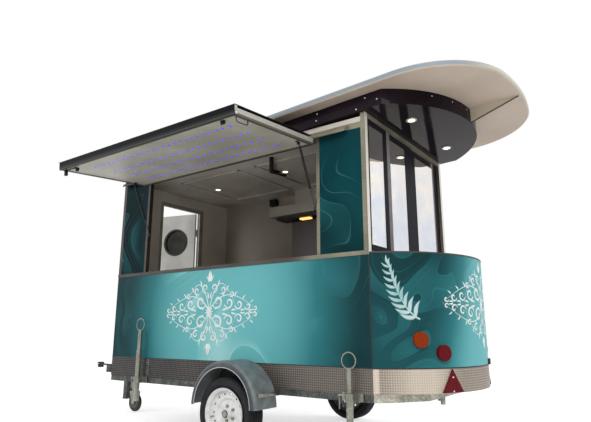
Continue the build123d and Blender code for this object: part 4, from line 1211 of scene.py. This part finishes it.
pane_surface = {"Roughness": 0.12, "Specular IOR Level": 0.05}
dark_glass = mottled(
    "porthole_pane", pane_surface, ("24261f", "3e4035"), (6, 3), (30, 2, 0.0003, 0.2), (0.3, 0.7)
)
dress(dark_glass, "porthole_glass")


# Axle arms and coupling: black painted forgings and castings, matt with worn corners.
# The arms sit on the ends of the axle tube, and the coupling over the end of the drawbar.
cast_surface = {"Roughness": 0.6, "Metallic": 0.3}
cast_black = mottled(
    "cast_black", cast_surface, ("101112", "34363a"), (25, 5), (120, 3, 0.0008, 0.5), (0.3, 0.8)
)
dress(cast_black, "axle_arms", "coupling_head")


# Wheels: road tyres on white painted steel rims. A tyre is turned from a drum: its ends are
# inset step by step into side walls, its tread is cut in four grooves, and the rest is bump.
# The rim has a pale cap in a dark ring, a painted shadow inside the hub's cup, five bolts
# on a circle and a short valve.
tyre_low, tyre_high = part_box("tyre_left")
tyre_radius = (tyre_high.z - tyre_low.z) / 2
tyre_middle = (tyre_high.y + tyre_low.y) / 2
tread_half = 0.058
tyre_sides = 120
wall_steps = (
    # inset towards the hub, shift outwards
    (0.004, 0.010),
    (0.010, 0.009),
    (0.012, 0.0045),
    (0.018, 0.001),
    (0.018, -0.003),
    (0.010, -0.006),
    (0.003, -0.006),
    (0.018, -0.004),
)
groove_places = (-0.040, -0.014, 0.014, 0.040)
groove_half = 0.0035
groove_depth = 0.006
sipe_count = 84
sipe_slant = 120
rib_rate = 900
bolt_circle = 0.056
bolt_count = 5
bolt_turn = 0.3
bolt_face = 0.020
valve_place = (0.150, 0.036, -0.030)
valve_length = 0.03
cap_face = 0.066
cap_foot = 0.0635
shadow_ring_radius = 0.030
cap_radius = 0.024
cap_rise = 0.003
shadow_ring_fall = 0.0008

tyre_rubber, place, inputs = new_finish("tyre_rubber", {"Roughness": 0.75, "Specular IOR Level": 0.3})
x, y, z = place.axes()
height = z - tyre_radius
reach = reach_of(x, height)
turn = x.math("ARCTAN2", height)
tread = reach.rise(tyre_radius - 0.014, tyre_radius - 0.010)
sipes = (turn * sipe_count + (abs(y) - tyre_middle) * sipe_slant).math("SINE").rise(-0.55, -0.75)
rib_zone = reach.rise(0.243, 0.236) * reach.rise(0.208, 0.216)
ribs = (reach * rib_rate).math("SINE").rise(0.3, 0.9) * rib_zone
dust = place.noise(14, 5).rise(0.3, 0.8)
dust.between("111113", "26272a").to(inputs["Base Color"])
(0 - sipes * tread + ribs * 0.15).bump(0.004, 1.0).to(inputs["Normal"])


def in_groove(face):
    """Whether a face lies in one of the tread's grooves."""
    return any(abs(face.calc_center_median().y - middle) < groove_half for middle in groove_places)


def road_tyre():
    """A tyre round the Y axis, its middle at the origin."""
    bpy.ops.mesh.primitive_cylinder_add(
        vertices=tyre_sides, radius=tyre_radius, depth=2 * tread_half, rotation=(math.pi / 2, 0, 0)
    )
    piece = bpy.context.object
    bpy.ops.object.transform_apply(location=True, rotation=True, scale=True)
    with edit_mode():
        for middle in groove_places:
            for side in (-1, 1):
                bpy.ops.mesh.select_all(action="SELECT")
                bpy.ops.mesh.bisect(plane_co=(0, middle + side * groove_half, 0), plane_no=(0, 1, 0))
        pick(piece, "faces", in_groove)
        bpy.ops.mesh.inset(thickness=0.0008, depth=-groove_depth, use_individual=False)
        pick(piece, "faces", lambda face: len(face.verts) == tyre_sides)
        for inward, outward in wall_steps:
            bpy.ops.mesh.inset(thickness=inward, depth=outward)
        bpy.ops.mesh.delete(type="ONLY_FACE")
        pick(piece, "edges", lambda edge: edge.is_boundary)
        bpy.ops.mesh.bridge_edge_loops()
    return smooth(faced_out(piece), 35)


white_rim, place, inputs = new_finish("white_rim", {"Roughness": 0.35, "Coat Weight": 0.2})
y = place.axes()[1]
soot = place.noise(18, 4).rise(0.45, 0.8) * 0.5
clean = soot.between("ececea", "b7b6b2")
# Inward of the tyre's middle the rim is painted darker as shade in its well.
well_painted_shade = abs(y).rise(tyre_middle, tyre_middle - 0.03)
well_painted_shade.between(clean, "6f6f70").to(inputs["Base Color"])
place.noise(60, 3).bump(0.0004, 0.4).to(inputs["Normal"])
dress(white_rim, "rim_left", "rim_right")


def on_wheel(side, x, out, z):
    """A place on a wheel, along the trailer, outwards and up from the wheel's middle."""
    return Vector((x, side * (tyre_middle + out), tyre_radius + z))


zinc_tube = dipped("zinc_tube", "60625a", "a9a99c", 0.9, 0.42)
tyre = road_tyre()
bolt = bar((-0.011, -0.006, -0.011), (0.011, 0.012, 0.011), 0.003)
for name, side in (("left", 1), ("right", -1)):
    body = "wheel_" + name
    fitted = copied(tyre, Matrix.Translation(on_wheel(side, 0, 0, 0)))
    fit(fitted, "road_tyre_" + name, tyre_rubber, body)
    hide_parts("tyre_" + name)
    bolts = []
    for index in range(bolt_count):
        angle = math.tau * index / bolt_count + bolt_turn
        spot = on_wheel(side, bolt_circle * math.sin(angle), bolt_face, bolt_circle * math.cos(angle))
        bolts.append(copied(bolt, Matrix.Translation(spot)))
    valve_x, valve_out, valve_z = valve_place
    valve_tip = on_wheel(side, valve_x, valve_out + valve_length, valve_z)
    bolts.append(rod(on_wheel(side, *valve_place), valve_tip, 0.005, 0.001, 12))
    fit(joined(bolts), "wheel_bolts_" + name, zinc_tube, body)
    seat = on_wheel(side, 0, cap_foot, 0)
    # The dark ring is a painted shadow inside the hub's cup.
    shadow_ring = rod(seat, on_wheel(side, 0, cap_face - shadow_ring_fall, 0), shadow_ring_radius, 0.0008)
    fit(shadow_ring, "hub_ring_" + name, satin_black, body)
    pale_cap = rod(seat, on_wheel(side, 0, cap_face + cap_rise, 0), cap_radius, 0.0025)
    fit(pale_cap, "hub_cap_" + name, zinc_tube, body)
bpy.data.objects.remove(tyre)
bpy.data.objects.remove(bolt)


# Mudguards: dark grey moulded plastic arches, faintly pebbled and shiny. Their tops are painted
# paler as light, their outer sides darker as shade, and the lip of the arch carries a painted highlight.
arch_middle = 0.33
arch_highlight = (0.298, 0.294)
guard_shade_band = (1.040, 1.054)

guard, place, inputs = new_finish("moulded_guard", {"Roughness": 0.42, "Specular IOR Level": 0.35})
x, y, z = place.axes()
guard_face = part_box("mudguards")[1].y
lip = abs(y).rise(guard_face - 0.003, guard_face - 0.001)
# Painted highlight along the lip of the arch.
lip_highlight = lip * reach_of(x, z - arch_middle).rise(*arch_highlight)
mottle = place.noise(12, 4).rise(0.3, 0.8)
# The top is painted in a lit tone and the outer side face in a darker, shaded tone.
painted_lit_top = mottle.between("6a7072", "868c8e")
face = mottle.between("353a3e", "4e5459")
base = abs(y).rise(*guard_shade_band).between(painted_lit_top, face)
lip_highlight.between(base, "c9ccd0").to(inputs["Base Color"])
place.noise(90, 3).bump(0.0004, 0.3).to(inputs["Normal"])
dress(guard, "mudguards")


# Props, their clamps and the jockey wheel: zinc-dipped tubes with bent ring handles, and
# a hard black rubber tyre on the small wheel, which is paler towards its hub.
caster_hub = (0.064, 0.060)

dress(zinc_tube, "prop_front_left", "prop_front_right", "prop_rear_left", "prop_rear_right")
dress(zinc_tube, "leg_clamps", "jockey_leg", "jockey_fork", "mudguard_stays")

caster, place, inputs = new_finish("caster_rubber", {"Roughness": 0.6})
x, y, z = place.axes()
low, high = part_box("jockey_wheel")
reach = reach_of(x - (low.x + high.x) / 2, z - (low.z + high.z) / 2)
colour = place.noise(20, 4).between("17181a", "2e3033")
reach.rise(*caster_hub).between(colour, "55584f").to(inputs["Base Color"])
place.noise(90, 3).bump(0.0005, 0.5).to(inputs["Normal"])
dress(caster, "jockey_wheel")


# Rear lamps: amber and red moulded lenses, cast with small round cells, and a red plate
# reflector held by two bright screws.
cell_pitch = 0.011
reflector_half = 0.408
reflector_proud = 0.008
reflector_screw_heights = (0.492, 0.585)
lens_surface = {"Roughness": 0.2, "Specular IOR Level": 0.08, "Emission Strength": 0.04}


def lens_cells(name, dark, pale):
    """A lens finish with rows of round cells."""
    material, place, inputs = new_finish(name, lens_surface)
    across, upward = waves(round_bow(place), cell_pitch)
    cells = (across * upward).rise(-0.1, 0.7)
    colour = cells.between(dark, pale)
    colour.to(inputs["Base Color"])
    colour.to(inputs["Emission Color"])
    cells.bump(0.002, 0.7).to(inputs["Normal"])
    return material


dress(lens_cells("amber_lens", "6a1c05", "cf5212"), "rear_lamps_amber")
dress(lens_cells("red_lens", "520811", "8c101c"), "rear_lamps_red")

reflector_angle = math.asin(reflector_half / bow_radius)
reflector_heads = []
for side in (1, -1):
    out = Vector((-math.cos(reflector_angle), side * math.sin(reflector_angle), 0))
    spot = Vector((bow_centre, 0, 0)) + out * (bow_radius + reflector_proud)
    for height in reflector_screw_heights:
        spot.z = height
        reflector_heads.append(copied(head, aimed(spot, out)))
bpy.data.objects.remove(head)
fit(joined(reflector_heads), "reflector_screws", bright_steel, "trailer")


bpy.context.scene.view_settings.view_transform = "Standard"
